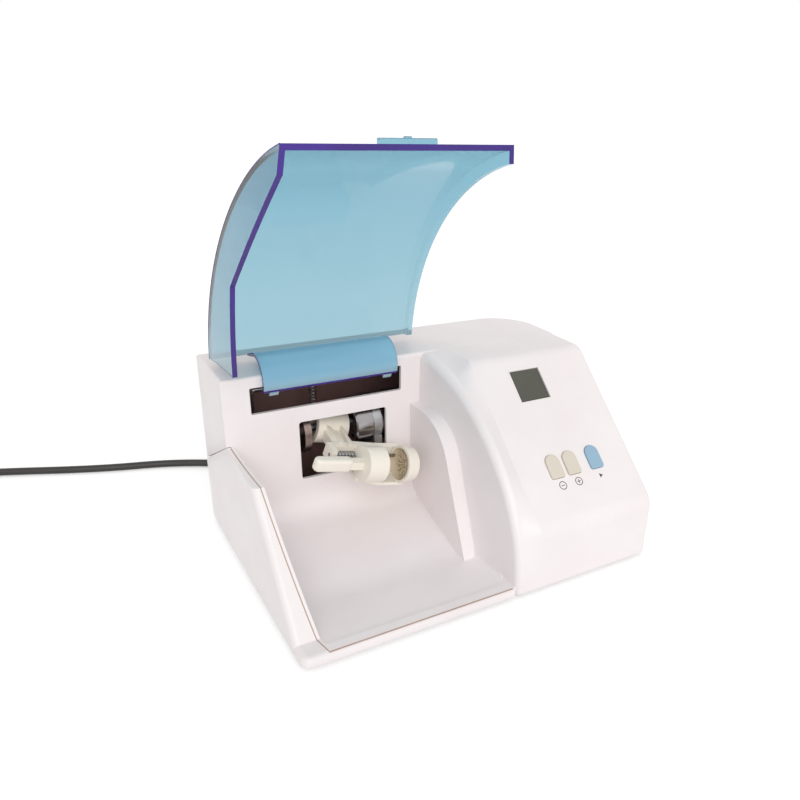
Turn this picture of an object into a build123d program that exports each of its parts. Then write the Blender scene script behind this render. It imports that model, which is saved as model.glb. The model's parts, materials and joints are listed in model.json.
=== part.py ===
import os
from math import asin, atan, cos, pi, radians, sin, sqrt, tan

from build123d import *

os.makedirs("parts", exist_ok=True)

# ---------------------------------------------------------------- sizes, mm
# Frame: X to the right, Y to the back, Z up. The origin is the centre of the
# footprint on the table. Distances "from left", "from front" and "up" are
# measured from the left side, the front face and the underside of the casing.
body_width = 260.0
body_depth = 195.0
body_height = 130.0
foot_height = 3.0
wall = 2.5
seam_gap = 0.3
back_lean = 6.5
back_corner_radius = 34.0

# upper housing: rear block with the window wall, control block on the right
deck_front = body_depth - 66.6
block_left = body_width * 0.5631
flank_bulge = 1.0
flank_hollow = 5.0
flank_hollow_back = 8.0
flank_top_back = 5.4
deck_edge_radius = 2.0
deck_line = 0.8
panel_fold_radius = 12.0
block_edge_radius = 4.0
panel_foot = body_height - 86.4
panel_top = body_depth - 100.3
hood_width = 16.0
hood_knee = (27.0, body_height - 53.7)
hood_crest = 5.0
hood_front_bow = 8.2
hood_back_drop = 0.8
hood_front_share = 0.42
hood_top_share = 0.55
hood_head_share = 0.85
foot_fold_radius = 16.0
hood_edge_radius = 5.0
slot_left = 18.0
slot_width = block_left - 38.8
slot_bottom = body_height - 25.8
slot_height = 18.2
slot_corner = 1.0
sleeve_from_left = block_left - 70.4
window_left = sleeve_from_left - 26.9
window_width = 64.7
window_bottom = body_height - 79.9
window_height = 43.0
window_corner = 2.0

# well with its tray, and the rim that the closed lid comes down on
rim_height = 5.7
rim_front_run = 15.2
rim_knee_from_front = deck_front - 53.4
rim_knee_height = body_height - 50.3
rim_back_height = body_height - 45.5
rim_left_back = 2.2
rim_left_mid = 5.2
rim_left_front = 16.4
rim_front = 2.2
tray_wall = 2.0
tray_lip = 7.0
floor_height = 4.6
tray_floor = 1.8
floor_run = 55.0
ramp_back_height = 25.0
ramp_blend = 22.0
ramp_foot_blend = 60.0
rim_edge_radius = 4.0
front_corner_radius = 6.0
flank_blend = 4.0
base_plate = 2.4
seam_back_height = 48.4
cheek_left = block_left - 13.4
cheek_height = body_height - 37.5
cheek_shoulder = deck_front - 44.4
cheek_foot = 45.0
cheek_blend = 38.0

# lid, drawn closed and turned up by the opening angle about the hinge axis
lid_opening = 94.5
lid_wall = 3.0
lid_gap = 0.7
lid_right = block_left - 1.8
lid_flange_depth = 9.5
lid_nose = 1.2
lid_crown_from_front = body_depth * 0.199
lid_crown_height = body_height - 39.5
lid_back_from_front = deck_front + 0.1
lid_back_height = body_height + 13.4
lid_side_back_height = rim_back_height + 2.5
lid_side_relief = 1.2
hinge_from_front = deck_front + 11.6
hinge_up = body_height - 4.6
hinge_pin_diameter = 2.5
pin_clearance = 0.06
tongue_left = 26.3
tongue_width = slot_width - 12.9
tongue_inner_radius = 13.3
tongue_thickness = 2.5
tongue_start = 160.0
tongue_end = 300.0
hinge_arm_width = 6.0
hinge_arm_inset = 4.0
hinge_arm_start = 297.0
hinge_arm_end = 312.0
hinge_arm_lap = 10.0
hinge_boss_diameter = 6.0
lid_tab_left = 66.0
lid_tab_width = 32.0
lid_tab_reach = 2.8
lid_tab_root = 3.0
lid_tab_thickness = 3.2
lid_tab_nub = 2.0
bracket_thickness = 2.0
bracket_width = 8.0
bracket_drop = 2.6

# control panel
panel_length = sqrt((body_height - panel_foot) ** 2 + panel_top**2)
lcd_width = 25.0
lcd_length = 24.5
lcd_from_left = body_width - 58.8
lcd_from_fold = panel_length * 0.808
button_width = 11.0
button_length = 17.4
button_corner = 1.6
button_from_fold = panel_length * 0.32
button_centres = (body_width - 68.1, body_width - 53.8, body_width - 34.0)
button_names = ("dose_down_button", "dose_up_button", "start_button")
button_clearance = 0.25
button_proud = 1.4
button_flange = 1.0
button_travel = 0.6

# feet, posts and screws
foot_diameter = 16.0
foot_stem = 5.0
foot_spots = (
    (20.0, 20.0),
    (20.0, body_depth - 20.0),
    (body_width - 22.0, 20.0),
    (body_width - 34.0, body_depth - 29.0),
)
post_inset = 7.5
post_diameter = 8.0
post_foot = 12.2
screw_diameter = 3.0
screw_head = 6.0
screw_head_height = 2.0
screw_clearance = 0.1
screw_bite = 12.0

# drive
shaft_from_front = deck_front + 21.6
shaft_up = body_height - 52.0
shaft_diameter = 6.0
shaft_left = 31.0
shaft_right = block_left + 7.6
running_clearance = 0.05
motor_diameter = 36.0
motor_left = block_left - 53.4
motor_right = block_left - 7.4
motor_cap = 4.0
motor_shell = 1.2
magnet_thickness = 2.5
magnet_margin = 4.0
rotor_gap = 0.8
strap_thickness = 0.8
saddle_width = 6.0
saddle_lefts = (motor_left + 13.0, motor_left + 34.0)
saddle_height = shaft_up - 32.0
block_width = 8.0
block_from_left = 32.0
block_depth = 26.0
bearing_diameter = 19.0
bearing_width = 6.0
disc_left = sleeve_from_left - 21.0
disc_thickness = 5.0
disc_diameter = 32.0
disc_rim = 3.0
disc_dish = 1.5
ball_diameter = 18.0
ball_width = 10.0
fan_left = block_left - 3.4
fan_diameter = 34.0
fan_thickness = 8.0
fan_hub = 12.0
fan_blades = 7
fan_blade_thickness = 1.4
fan_pitch = 35.0
chassis_left = 26.0
chassis_right = block_left + 3.6
chassis_front = deck_front + 5.6
chassis_back = body_depth - 15.0
chassis_up = 22.0
chassis_sheet = 2.0
chassis_arm_front = shaft_from_front + 8.0
chassis_arm_height = body_height - 18.0
chassis_shoulder = shaft_up + 12.0
damper_diameter = 12.0
damper_foot = 10.0
damper_xs = (sleeve_from_left - 16.0, motor_left + 23.0)
damper_ys = (shaft_from_front - 8.0, body_depth - 21.0)
spring_post_diameter = 4.0
spring_post_up = body_height - 23.0
spring_post_right = sleeve_from_left + 1.0
holder_spring_diameter = 6.0
holder_spring_wire = 0.8
holder_spring_turns = 7
holder_spring_gap = 0.3

# capsule holder: along is the capsule's axis, reach is the way forward
sleeve_length = 24.0
sleeve_diameter = 26.0
sleeve_clearance = 0.3
holder_yaw = 4.4
holder_pitch = 14.5
holder_droop = 13.0
holder_reach = 49.0
arm_width = 16.0
arm_thickness = 7.0
arm_rib = 2.0
arm_rib_height = 3.0
spine_reach = 30.0
spine_width = 4.0
spine_height = 10.0
lug_reach = 20.0
lug_length = 6.0
lug_thickness = 4.0
stop_left = -14.0
stop_thickness = 4.0
rod_reach = 38.0
rod_diameter = 3.0
rod_clearance = 0.1
dish_mouth = 36.6
dish_length = 9.5
dish_diameter = 27.0
dish_wall = 2.0
dish_ribs = 12
dish_rib = 1.0
dish_rib_height = 3.0
web_width = 12.0
web_thickness = 2.4
web_drop = 14.0
web_left = 6.0
web_wall = 2.0
jaw_left = 6.0
jaw_right = 21.0
jaw_diameter = 25.0
jaw_cup_depth = 6.0
jaw_cup_wall = 2.0
jaw_lug_height = 8.0
jaw_neck = 6.0
tab_left = -30.0
tab_right = -2.0
tab_height = 9.5
tab_edge_radius = 2.4
tab_thickness = 8.0
jaw_spring_diameter = 5.4
jaw_spring_wire = 0.7
jaw_spring_turns = 6

# electronics under the panel
board_gap = 7.0
board_left = block_left + 21.6
board_right = body_width - 16.0
board_low = panel_length * 0.172
board_high = panel_length * 0.952
board_thickness = 1.6
board_post = 6.0
board_post_inset = 4.0
lcd_margin = 3.0
lcd_lens_thickness = 1.5
lcd_lens_clearance = 0.2
key_switch_size = 6.0
key_switch_height = 3.8
key_plunger = 3.0
key_free_play = 0.1
button_flange_reach = 1.2
button_rest_gap = 0.1

# power supply on the base plate
supply_left = block_left + 19.6
supply_right = body_width - 16.0
supply_front = 58.0
supply_back = body_depth - 45.0
supply_up = 10.0
supply_post = 7.0
supply_post_inset = 5.0
core_left = supply_left + 6.0
core_front = body_depth - 97.0
core_width = (supply_right - supply_left) * 0.564
core_height = 38.0
core_depth = 20.0
core_leg = 14.0
coil_overhang = 6.0
coil_play = 0.2
capacitor_diameter = 13.0
capacitor_height = 25.0
capacitor_spots = ((supply_right - 15.0, core_front), (supply_right - 15.0, core_front + 16.0))
sink_left = supply_right - 32.0
sink_front = 70.0
sink_length = 26.0
sink_height = 24.0
sink_fin = 1.2
sink_fins = 6
sink_depth = 14.0
terminal_left = supply_left + 13.0
terminal_front = 64.0
terminal_length = 30.0
terminal_depth = 9.0
terminal_height = 11.0

# fittings of the rear wall
rear_fitting_up = 26.0
switch_from_left = body_width - 82.0
switch_width = 21.0
switch_height = 15.0
switch_proud = 1.2
switch_cell_width = 15.0
switch_cell_height = 10.9
switch_depth = 15.0
switch_cell_depth = 7.0
rocker_width = 14.4
rocker_half_height = 4.6
rocker_swing = 14.0
rocker_pivot = 2.0
rocker_lip = 2.9
rocker_valley = 2.1
rocker_foot = 3.0
rocker_axle = 2.0
rocker_axle_reach = 0.8
fuse_from_left = body_width - 54.0
fuse_diameter = 12.0
fuse_flange = 16.0
fuse_depth = 22.0
fuse_cap_diameter = 9.0
vent_left = body_width - 95.0
vent_count = 9
vent_pitch = 7.0
vent_width = 3.0
vent_height = 34.0
vent_up = body_height - 46.0

# cord
cord_diameter = 6.0
cord_clearance = 0.05
cord_floor_gap = 0.1
gland_from_left = 60.0
gland_up = 25.0
gland_flange = 15.0
gland_flange_thickness = 2.0
gland_body = 11.0
gland_nut = 4.0
gland_length = 22.0
gland_tip = 9.4
gland_flare = 0.7
gland_flare_start = 12.0
cord_inside = 8.0
cord_lead = 34.0
cord_points = ((47.0, 73.5), (-6.1, 104.6), (-63.8, 119.3), (-141.4, 152.7), (-189.0, 168.0))
coil_pitch = 6.6
coil_radius = 38.5
coil_turns_in = 2.5
coil_turns_out = 3.0
coil_tail = 30.0
plug_length = 35.0
plug_width = 35.0
plug_thickness = 13.6
plug_neck = 10.0
plug_front = 26.0
plug_pin = 4.0
plug_pin_length = 19.0
plug_pin_spacing = 19.0


# ------------------------------------------------------------ shared geometry
casing_left = -body_width / 2
casing_front = -body_depth / 2
casing_top = foot_height + body_height
back_slope = back_lean / body_height
panel_rise = (body_height - panel_foot) / panel_top
panel_angle = atan(panel_rise)
well_knee = deck_front / 2.3
shell_top_inset = wall * sqrt(1 + panel_rise**2)
# the hood's two arcs share their tangent at its knee
hood_head = (deck_front, body_height - hood_back_drop)
hood_front_chord = sqrt(hood_knee[0] ** 2 + hood_knee[1] ** 2)
hood_top_chord = sqrt((hood_head[0] - hood_knee[0]) ** 2 + (hood_head[1] - hood_knee[1]) ** 2)
hood_knee_slope = atan(hood_knee[1] / hood_knee[0]) - 2 * atan(2 * hood_front_bow / hood_front_chord)
hood_top_slope = atan((hood_head[1] - hood_knee[1]) / (hood_head[0] - hood_knee[0]))
hood_top_bow = hood_top_chord / 2 * tan((hood_knee_slope - hood_top_slope) / 2)


def from_left(distance):
    return casing_left + distance


def from_front(distance):
    return casing_front + distance


def up(distance):
    return foot_height + distance


def side_plane(distance):
    """Plane seen from the right: local x is Y, local y is Z, normal +X."""
    return Plane(origin=(from_left(distance), 0, 0), x_dir=(0, 1, 0), z_dir=(1, 0, 0))


def side_points(pairs):
    return [(from_front(y), up(z)) for y, z in pairs]


def rim_arc(offset, back):
    """Plan curve of the parting line on the left, moved right by offset."""
    ThreePointArc(
        (from_left(rim_left_front + offset), from_front(rim_front)),
        (from_left(rim_left_mid + offset), from_front(rim_knee_from_front)),
        (from_left(rim_left_back + offset), from_front(back)),
    )


def flank_points(offset, upper):
    """Front, middle and back point of the flank, low down or at the deck."""
    bulge = flank_bulge if upper else -flank_hollow
    lean_back = flank_top_back if upper else flank_hollow_back
    return (
        (from_left(block_left + offset), casing_front - 1),
        (from_left(block_left + bulge + offset), from_front(well_knee)),
        (from_left(block_left - lean_back + offset), from_front(deck_front)),
    )


def well_section(height, left_offset, flank_offset, upper):
    """Plan outline of the well between the left rim and the flank."""
    front, middle, back = flank_points(flank_offset, upper)
    with BuildSketch(Plane.XY.offset(height)) as section:
        with BuildLine():
            rim_arc(left_offset, deck_front)
            Line((from_left(rim_left_back + left_offset), from_front(deck_front)), back)
            ThreePointArc(back, middle, front)
            Polyline(
                front,
                (from_left(rim_left_front + left_offset), front[1]),
                (from_left(rim_left_front + left_offset), from_front(rim_front)),
            )
        make_face()
    return section.sketch


def block_section(height, upper):
    """Plan outline of the control block's inside, right of the flank wall."""
    front, middle, back = flank_points(wall, upper)
    with BuildSketch(Plane.XY.offset(height)) as section:
        with BuildLine():
            ThreePointArc(front, middle, back)
            Polyline(
                back,
                (back[0], from_front(deck_front + 2 * wall)),
                (from_left(body_width - wall), from_front(deck_front + 2 * wall)),
                (from_left(body_width - wall), front[1]),
                front,
            )
        make_face()
    return section.sketch


# ------------------------------------------------------- solids of the casing
with BuildPart() as rear_block:
    with BuildSketch(side_plane(0)):
        with BuildLine():
            Polyline(
                *side_points(
                    [
                        (deck_front, 0),
                        (deck_front, body_height),
                        (body_depth - back_lean, body_height),
                        (body_depth, 0),
                    ]
                ),
                close=True,
            )
        make_face()
    extrude(amount=body_width)
    corner = rear_block.edges().sort_by(lambda e: e.center().X + e.center().Y)[-1]
    fillet(corner, radius=back_corner_radius)
    fillet(rear_block.faces().sort_by(Axis.Z)[-1].edges(), radius=deck_edge_radius)

with BuildPart() as rear_space:
    with BuildSketch(side_plane(wall)):
        with BuildLine():
            Polyline(
                *side_points(
                    [
                        (deck_front + wall, -1),
                        (deck_front + wall, body_height - wall),
                        (body_depth - back_lean - wall, body_height - wall),
                        (body_depth - wall + back_slope, -1),
                    ]
                ),
                close=True,
            )
        make_face()
    extrude(amount=body_width - 2 * wall)
    corner = rear_space.edges().sort_by(lambda e: e.center().X + e.center().Y)[-1]
    fillet(corner, radius=back_corner_radius - wall)


def bowed(start, end, bow, fraction):
    """Point on the arc that stands off the chord by bow, to its left."""
    chord = sqrt((end[0] - start[0]) ** 2 + (end[1] - start[1]) ** 2)
    ahead = ((end[0] - start[0]) / chord, (end[1] - start[1]) / chord)
    radius = (chord**2 / 4 + bow**2) / (2 * bow)
    turn = (2 * fraction - 1) * asin(chord / 2 / radius)
    run = chord / 2 + radius * sin(turn)
    off = radius * cos(turn) - radius + bow
    return (start[0] + ahead[0] * run - ahead[1] * off, start[1] + ahead[1] * run + ahead[0] * off)


def bowed_arc(start, end, bow, begin, finish):
    """Stretch of that arc between two fractions of its turn."""
    stations = (begin, (begin + finish) / 2, finish)
    ThreePointArc(*side_points([bowed(start, end, bow, station) for station in stations]))


def block_profile(distance, back):
    """Side view of the control block to the right of the hood."""
    with BuildSketch(side_plane(distance)) as profile:
        with BuildLine():
            Polyline(
                *side_points(
                    [
                        (0, 0),
                        (0, panel_foot),
                        (panel_top, body_height),
                        (back, body_height),
                        (back, 0),
                    ]
                ),
                close=True,
            )
        make_face()
        fillet(profile.vertices().sort_by(Axis.X)[:2].sort_by(Axis.Y)[-1], radius=foot_fold_radius)
        fillet(profile.vertices().sort_by(Axis.Y)[-2:].sort_by(Axis.X)[0], radius=panel_fold_radius)
    return profile.sketch


def hood_profile(distance):
    """Side view of the hood along the well, with as many stretches as the block's."""
    with BuildSketch(side_plane(distance)) as profile:
        with BuildLine():
            bowed_arc((0, 0), hood_knee, hood_front_bow, 0, hood_front_share)
            bowed_arc((0, 0), hood_knee, hood_front_bow, hood_front_share, 1)
            bowed_arc(hood_knee, hood_head, hood_top_bow, 0, hood_top_share)
            bowed_arc(hood_knee, hood_head, hood_top_bow, hood_top_share, hood_head_share)
            bowed_arc(hood_knee, hood_head, hood_top_bow, hood_head_share, 1)
            Polyline(*side_points([hood_head, (deck_front, 0), (0, 0)]))
        make_face()
    return profile.sketch


def block_inner_profile(distance):
    """Side view of the control block's inside to the right of the hood."""
    with BuildSketch(side_plane(distance)) as profile:
        with BuildLine():
            Polyline(
                *side_points(
                    [
                        (wall, -1),
                        (wall, panel_foot - shell_top_inset + wall * panel_rise),
                        (panel_top + (shell_top_inset - wall) / panel_rise, body_height - wall),
                        (deck_front + wall + 1, body_height - wall),
                        (deck_front + wall + 1, -1),
                    ]
                ),
                close=True,
            )
        make_face()
    return profile.sketch


def hood_inner_profile(distance):
    """Side view of the inside of the hood."""
    knee = (hood_knee[0] + wall * sin(hood_knee_slope), hood_knee[1] - wall * cos(hood_knee_slope))
    head = (deck_front + wall + 1, body_height - hood_back_drop - wall)
    with BuildSketch(side_plane(distance)) as profile:
        with BuildLine():
            bowed_arc((wall, -1), knee, hood_front_bow, 0, 1)
            bowed_arc(knee, head, hood_top_bow, 0, hood_head_share)
            bowed_arc(knee, head, hood_top_bow, hood_head_share, 1)
            Polyline(*side_points([head, (head[0], -1), (wall, -1)]))
        make_face()
    return profile.sketch


hood_left = block_left - flank_hollow_back - 1
hood_right = block_left + hood_width
with BuildPart() as control_block:
    add(block_profile(hood_right, deck_front + deck_line))
    extrude(amount=body_width - hood_right, dir=(1, 0, 0))
    right_edges = control_block.faces().sort_by(Axis.X)[-1].edges()
    rounded = right_edges.filter_by(lambda e: e.center().Z > up(1) and e.center().Y < from_front(deck_front))
    fillet(rounded, radius=block_edge_radius)

with BuildPart() as flank_space:
    loft([well_section(up(-1), 0, 0, False), well_section(casing_top + 2, 0, 0, True)], ruled=True)

with BuildPart() as hood:
    add(hood_profile(hood_left))
    extrude(amount=block_left + hood_crest - hood_left, dir=(1, 0, 0))
    loft([hood_profile(block_left + hood_crest), block_profile(hood_right, deck_front)], ruled=True)
    add(flank_space.part, mode=Mode.SUBTRACT)
    ridge = hood.edges().filter_by(
        lambda e: e.geom_type == GeomType.BSPLINE
        and e.center().X < from_left(block_left + hood_crest - 1)
        and e.center().Z > up(1)
        and e.center().Y < from_front(deck_front - 1)
    )
    fillet(ridge, radius=hood_edge_radius)
    extrude(hood.faces().sort_by(Axis.Y)[-1], amount=deck_line)

with BuildPart() as block_inside:
    add(block_inner_profile(hood_right))
    extrude(amount=body_width - wall - hood_right, dir=(1, 0, 0))
    loft([hood_inner_profile(block_left + hood_crest), block_inner_profile(hood_right)], ruled=True)
    add(hood_inner_profile(hood_left))
    extrude(amount=block_left + hood_crest - hood_left, dir=(1, 0, 0))

with BuildPart() as control_space:
    loft([block_section(up(-1), False), block_section(casing_top, True)], ruled=True)
    add(block_inside.part, mode=Mode.INTERSECT)

with BuildPart() as tray_block:
    with BuildSketch(Plane.XY.offset(up(base_plate + seam_gap))):
        with BuildLine():
            rim_arc(seam_gap, deck_front)
            Polyline(
                (from_left(rim_left_back + seam_gap), from_front(deck_front)),
                (from_left(rim_left_back + seam_gap), from_front(deck_front + wall)),
                (from_left(block_left + wall), from_front(deck_front + wall)),
                (from_left(block_left + wall), from_front(rim_front)),
                (from_left(rim_left_front + seam_gap), from_front(rim_front)),
            )
        make_face()
    extrude(amount=body_height)
    with BuildSketch(side_plane(0)):
        with BuildLine():
            Polyline(
                *side_points(
                    [
                        (0, 0),
                        (0, rim_height),
                        (rim_front_run, rim_height),
                        (rim_knee_from_front, rim_knee_height),
                        (deck_front, rim_back_height),
                        (deck_front + wall, rim_back_height),
                        (deck_front + wall, 0),
                    ]
                ),
                close=True,
            )
        make_face()
    extrude(amount=body_width, mode=Mode.INTERSECT)

floor_start = rim_front + tray_lip
with BuildPart() as well_space:
    lower_section = well_section(up(0), seam_gap + tray_wall, 0, False)
    upper_section = well_section(casing_top + 2, seam_gap + tray_wall, 0, True)
    loft([lower_section, upper_section], ruled=True)
    with BuildSketch(side_plane(0)) as well_profile:
        with BuildLine():
            Polyline(
                *side_points(
                    [
                        (-1, rim_height),
                        (floor_start, rim_height),
                        (floor_start, floor_height),
                        (floor_run, floor_height),
                        (deck_front, ramp_back_height),
                        (deck_front, body_height + 2),
                        (-1, body_height + 2),
                    ]
                ),
                close=True,
            )
        make_face()
        wall_foot = well_profile.vertices().sort_by(Axis.X)[-2:].sort_by(Axis.Y)[0]
        fillet(wall_foot, radius=ramp_blend)
        ramp_foot = well_profile.vertices().sort_by(lambda v: abs(v.X - from_front(floor_run)))[0]
        fillet(ramp_foot, radius=ramp_foot_blend)
    extrude(amount=body_width, mode=Mode.INTERSECT)
    foot_edges = well_space.edges().filter_by(
        lambda e: e.center().X > from_left(block_left - flank_hollow_back - 2)
        and e.center().Z < up(rim_back_height / 2)
        and e.center().Y > from_front(floor_start + 1)
    )
    fillet(foot_edges, radius=flank_blend)

with BuildPart() as tray_space:
    add(well_section(up(-1), seam_gap + tray_wall, wall + 1, False))
    extrude(amount=ramp_back_height + 10)
    with BuildSketch(side_plane(0)):
        with BuildLine():
            Polyline(
                *side_points(
                    [
                        (rim_front + seam_gap + tray_wall, -1),
                        (rim_front + seam_gap + tray_wall, floor_height - tray_floor),
                        (floor_run, floor_height - tray_floor),
                        (deck_front, ramp_back_height - tray_floor * 1.1),
                        (deck_front + wall + 1, ramp_back_height - tray_floor * 1.1),
                        (deck_front + wall + 1, -1),
                    ]
                ),
                close=True,
            )
        make_face()
    extrude(amount=body_width, mode=Mode.INTERSECT)

cheek_outline = [
    (deck_front, cheek_height),
    (cheek_shoulder, cheek_height),
    (cheek_foot, floor_height - tray_floor),
    (deck_front, floor_height - tray_floor),
]


def cheek_solid(left, right, inset, back):
    """Plate with the rounded outline of the cheek, drawn in by inset."""
    with BuildPart() as plate:
        with BuildSketch(side_plane(left)) as outline:
            with BuildLine():
                Polyline(*side_points(cheek_outline), close=True)
            make_face()
            shoulder = outline.vertices().sort_by(Axis.Y)[-2:].sort_by(Axis.X)[0]
            fillet(shoulder, radius=cheek_blend)
            if inset > 0:
                offset(amount=-inset, mode=Mode.REPLACE)
        extrude(amount=right - left)
        if inset > 0:
            with BuildSketch(side_plane(left)):
                with BuildLine():
                    Polyline(
                        *side_points(
                            [
                                (cheek_foot + 2 * inset, inset + floor_height),
                                (cheek_foot + 2 * inset, -1),
                                (back, -1),
                                (back, inset + floor_height),
                            ]
                        ),
                        close=True,
                    )
                make_face()
            extrude(amount=right - left)
    return plate.part


def base_envelope(gap):
    """Space of the base shell, grown by gap where the upper housing meets it."""
    outer = 1 if gap > 0 else 0
    inner_right = body_width - wall - seam_gap + gap
    with BuildPart() as envelope:
        with BuildSketch(Plane.XY.offset(up(-outer))) as plate:
            with BuildLine():
                Polyline(
                    (from_left(-outer), from_front(-outer)),
                    (from_left(lid_right + gap), from_front(-outer)),
                    (from_left(lid_right + gap), from_front(wall + seam_gap - gap)),
                    (from_left(inner_right), from_front(wall + seam_gap - gap)),
                    (from_left(inner_right), from_front(body_depth - wall - seam_gap + gap)),
                    (from_left(-outer), from_front(body_depth - wall - seam_gap + gap)),
                    close=True,
                )
            make_face()
            back_right = plate.vertices().sort_by(lambda v: v.X + v.Y)[-1]
            fillet(back_right, radius=back_corner_radius - wall - seam_gap + gap)
        extrude(amount=base_plate + gap + outer)
        # left wall under the rim, its top as wide as the parting line allows
        with BuildSketch(side_plane(-outer)):
            with BuildLine():
                Polyline(
                    *side_points(
                        [
                            (-outer, -outer),
                            (-outer, rim_height + gap),
                            (rim_front_run, rim_height + gap),
                            (rim_knee_from_front, rim_knee_height + gap),
                            (deck_front, rim_back_height + gap),
                            (body_depth + outer, seam_back_height + gap),
                            (body_depth + outer, -outer),
                        ]
                    ),
                    close=True,
                )
            make_face()
        extrude(amount=wall + gap + outer)
        with BuildPart(mode=Mode.PRIVATE) as rim_flange:
            with BuildSketch(Plane.XY.offset(up(-outer))):
                with BuildLine():
                    rim_arc(gap, deck_front)
                    Polyline(
                        (from_left(rim_left_back + gap), from_front(deck_front)),
                        (from_left(-outer), from_front(deck_front)),
                        (from_left(-outer), from_front(-outer)),
                        (from_left(rim_left_front + gap), from_front(-outer)),
                        (from_left(rim_left_front + gap), from_front(rim_front)),
                    )
                make_face()
            extrude(amount=body_height)
            with BuildSketch(side_plane(-outer)):
                with BuildLine():
                    Polyline(
                        *side_points(
                            [
                                (-outer, -outer),
                                (-outer, rim_height + gap),
                                (rim_front_run, rim_height + gap),
                                (rim_knee_from_front, rim_knee_height + gap),
                                (deck_front, rim_back_height + gap),
                                (deck_front, -outer),
                            ]
                        ),
                        close=True,
                    )
                make_face()
            extrude(amount=body_width, mode=Mode.INTERSECT)
        add(rim_flange.part)
        # low front wall and the lower part of the rear wall
        with BuildSketch(side_plane(-outer)):
            with BuildLine():
                Polyline(
                    *side_points(
                        [
                            (-outer, -outer),
                            (-outer, rim_height + gap),
                            (rim_front - seam_gap + gap, rim_height + gap),
                            (rim_front - seam_gap + gap, -outer),
                        ]
                    ),
                    close=True,
                )
            make_face()
        extrude(amount=lid_right + gap + outer)
        with BuildSketch(side_plane(-outer)):
            with BuildLine():
                Polyline(
                    *side_points(
                        [
                            (body_depth - wall - gap, -outer),
                            (body_depth - wall - gap - back_slope * seam_back_height, seam_back_height + gap),
                            (body_depth + outer - back_slope * seam_back_height, seam_back_height + gap),
                            (body_depth + outer, -outer),
                        ]
                    ),
                    close=True,
                )
            make_face()
        extrude(amount=body_width - back_corner_radius - wall + gap + outer)
    return envelope.part


panel_plane = Plane(
    origin=(casing_left, casing_front, up(panel_foot)),
    x_dir=(1, 0, 0),
    z_dir=(0, -sin(panel_angle), cos(panel_angle)),
)


def button_outline(grow):
    """Arch-topped key outline about its middle, grown on every side."""
    radius = button_width / 2 + grow
    straight = button_length - button_width / 2
    with BuildSketch() as outline:
        with BuildLine():
            top_left = (-radius, straight - button_length / 2)
            top_right = (radius, straight - button_length / 2)
            ThreePointArc(top_left, (0, button_length / 2 + grow), top_right)
            Polyline(
                top_right,
                (radius, -button_length / 2 - grow),
                (-radius, -button_length / 2 - grow),
                top_left,
            )
        make_face()
        fillet(outline.vertices().sort_by(Axis.Y)[:2], radius=button_corner + grow)
    return outline.sketch


post_spots = [
    (from_left(post_inset), from_front(deck_front + wall + post_inset)),
    (from_left(post_inset), from_front(body_depth - back_lean - wall - post_inset)),
    (from_left(body_width - post_inset), from_front(deck_front)),
    (from_left(body_width - post_inset), from_front(post_inset)),
]
arm_lefts = (
    tongue_left + hinge_arm_inset,
    tongue_left + tongue_width - hinge_arm_inset - hinge_arm_width,
)
board_spots = [
    (x, y)
    for x in (board_left + board_post_inset, board_right - board_post_inset)
    for y in (board_low + board_post_inset, board_high - board_post_inset)
]
rear_lean = atan(back_slope)
rear_plane = Plane(
    origin=(casing_left, from_front(body_depth), up(0)),
    x_dir=(-1, 0, 0),
    z_dir=(0, cos(rear_lean), sin(rear_lean)),
)
under_panel = panel_plane.offset(-wall)


def on_axis(distance):
    """Plane square to the shaft, at a distance from the casing's left side."""
    return Plane(
        origin=(from_left(distance), from_front(shaft_from_front), up(shaft_up)),
        x_dir=(0, 1, 0),
        z_dir=(1, 0, 0),
    )


with BuildPart() as housing_posts:
    with BuildSketch(Plane.XY.offset(up(post_foot))):
        with Locations(*post_spots):
            Circle(post_diameter / 2)
    extrude(amount=body_height)
    add(rear_block.part + control_block.part, mode=Mode.INTERSECT)
    with BuildSketch(Plane.XY.offset(up(post_foot))):
        with Locations(*post_spots):
            Circle(screw_diameter / 2 + screw_clearance / 2)
    extrude(amount=screw_bite + 2, mode=Mode.SUBTRACT)

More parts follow.
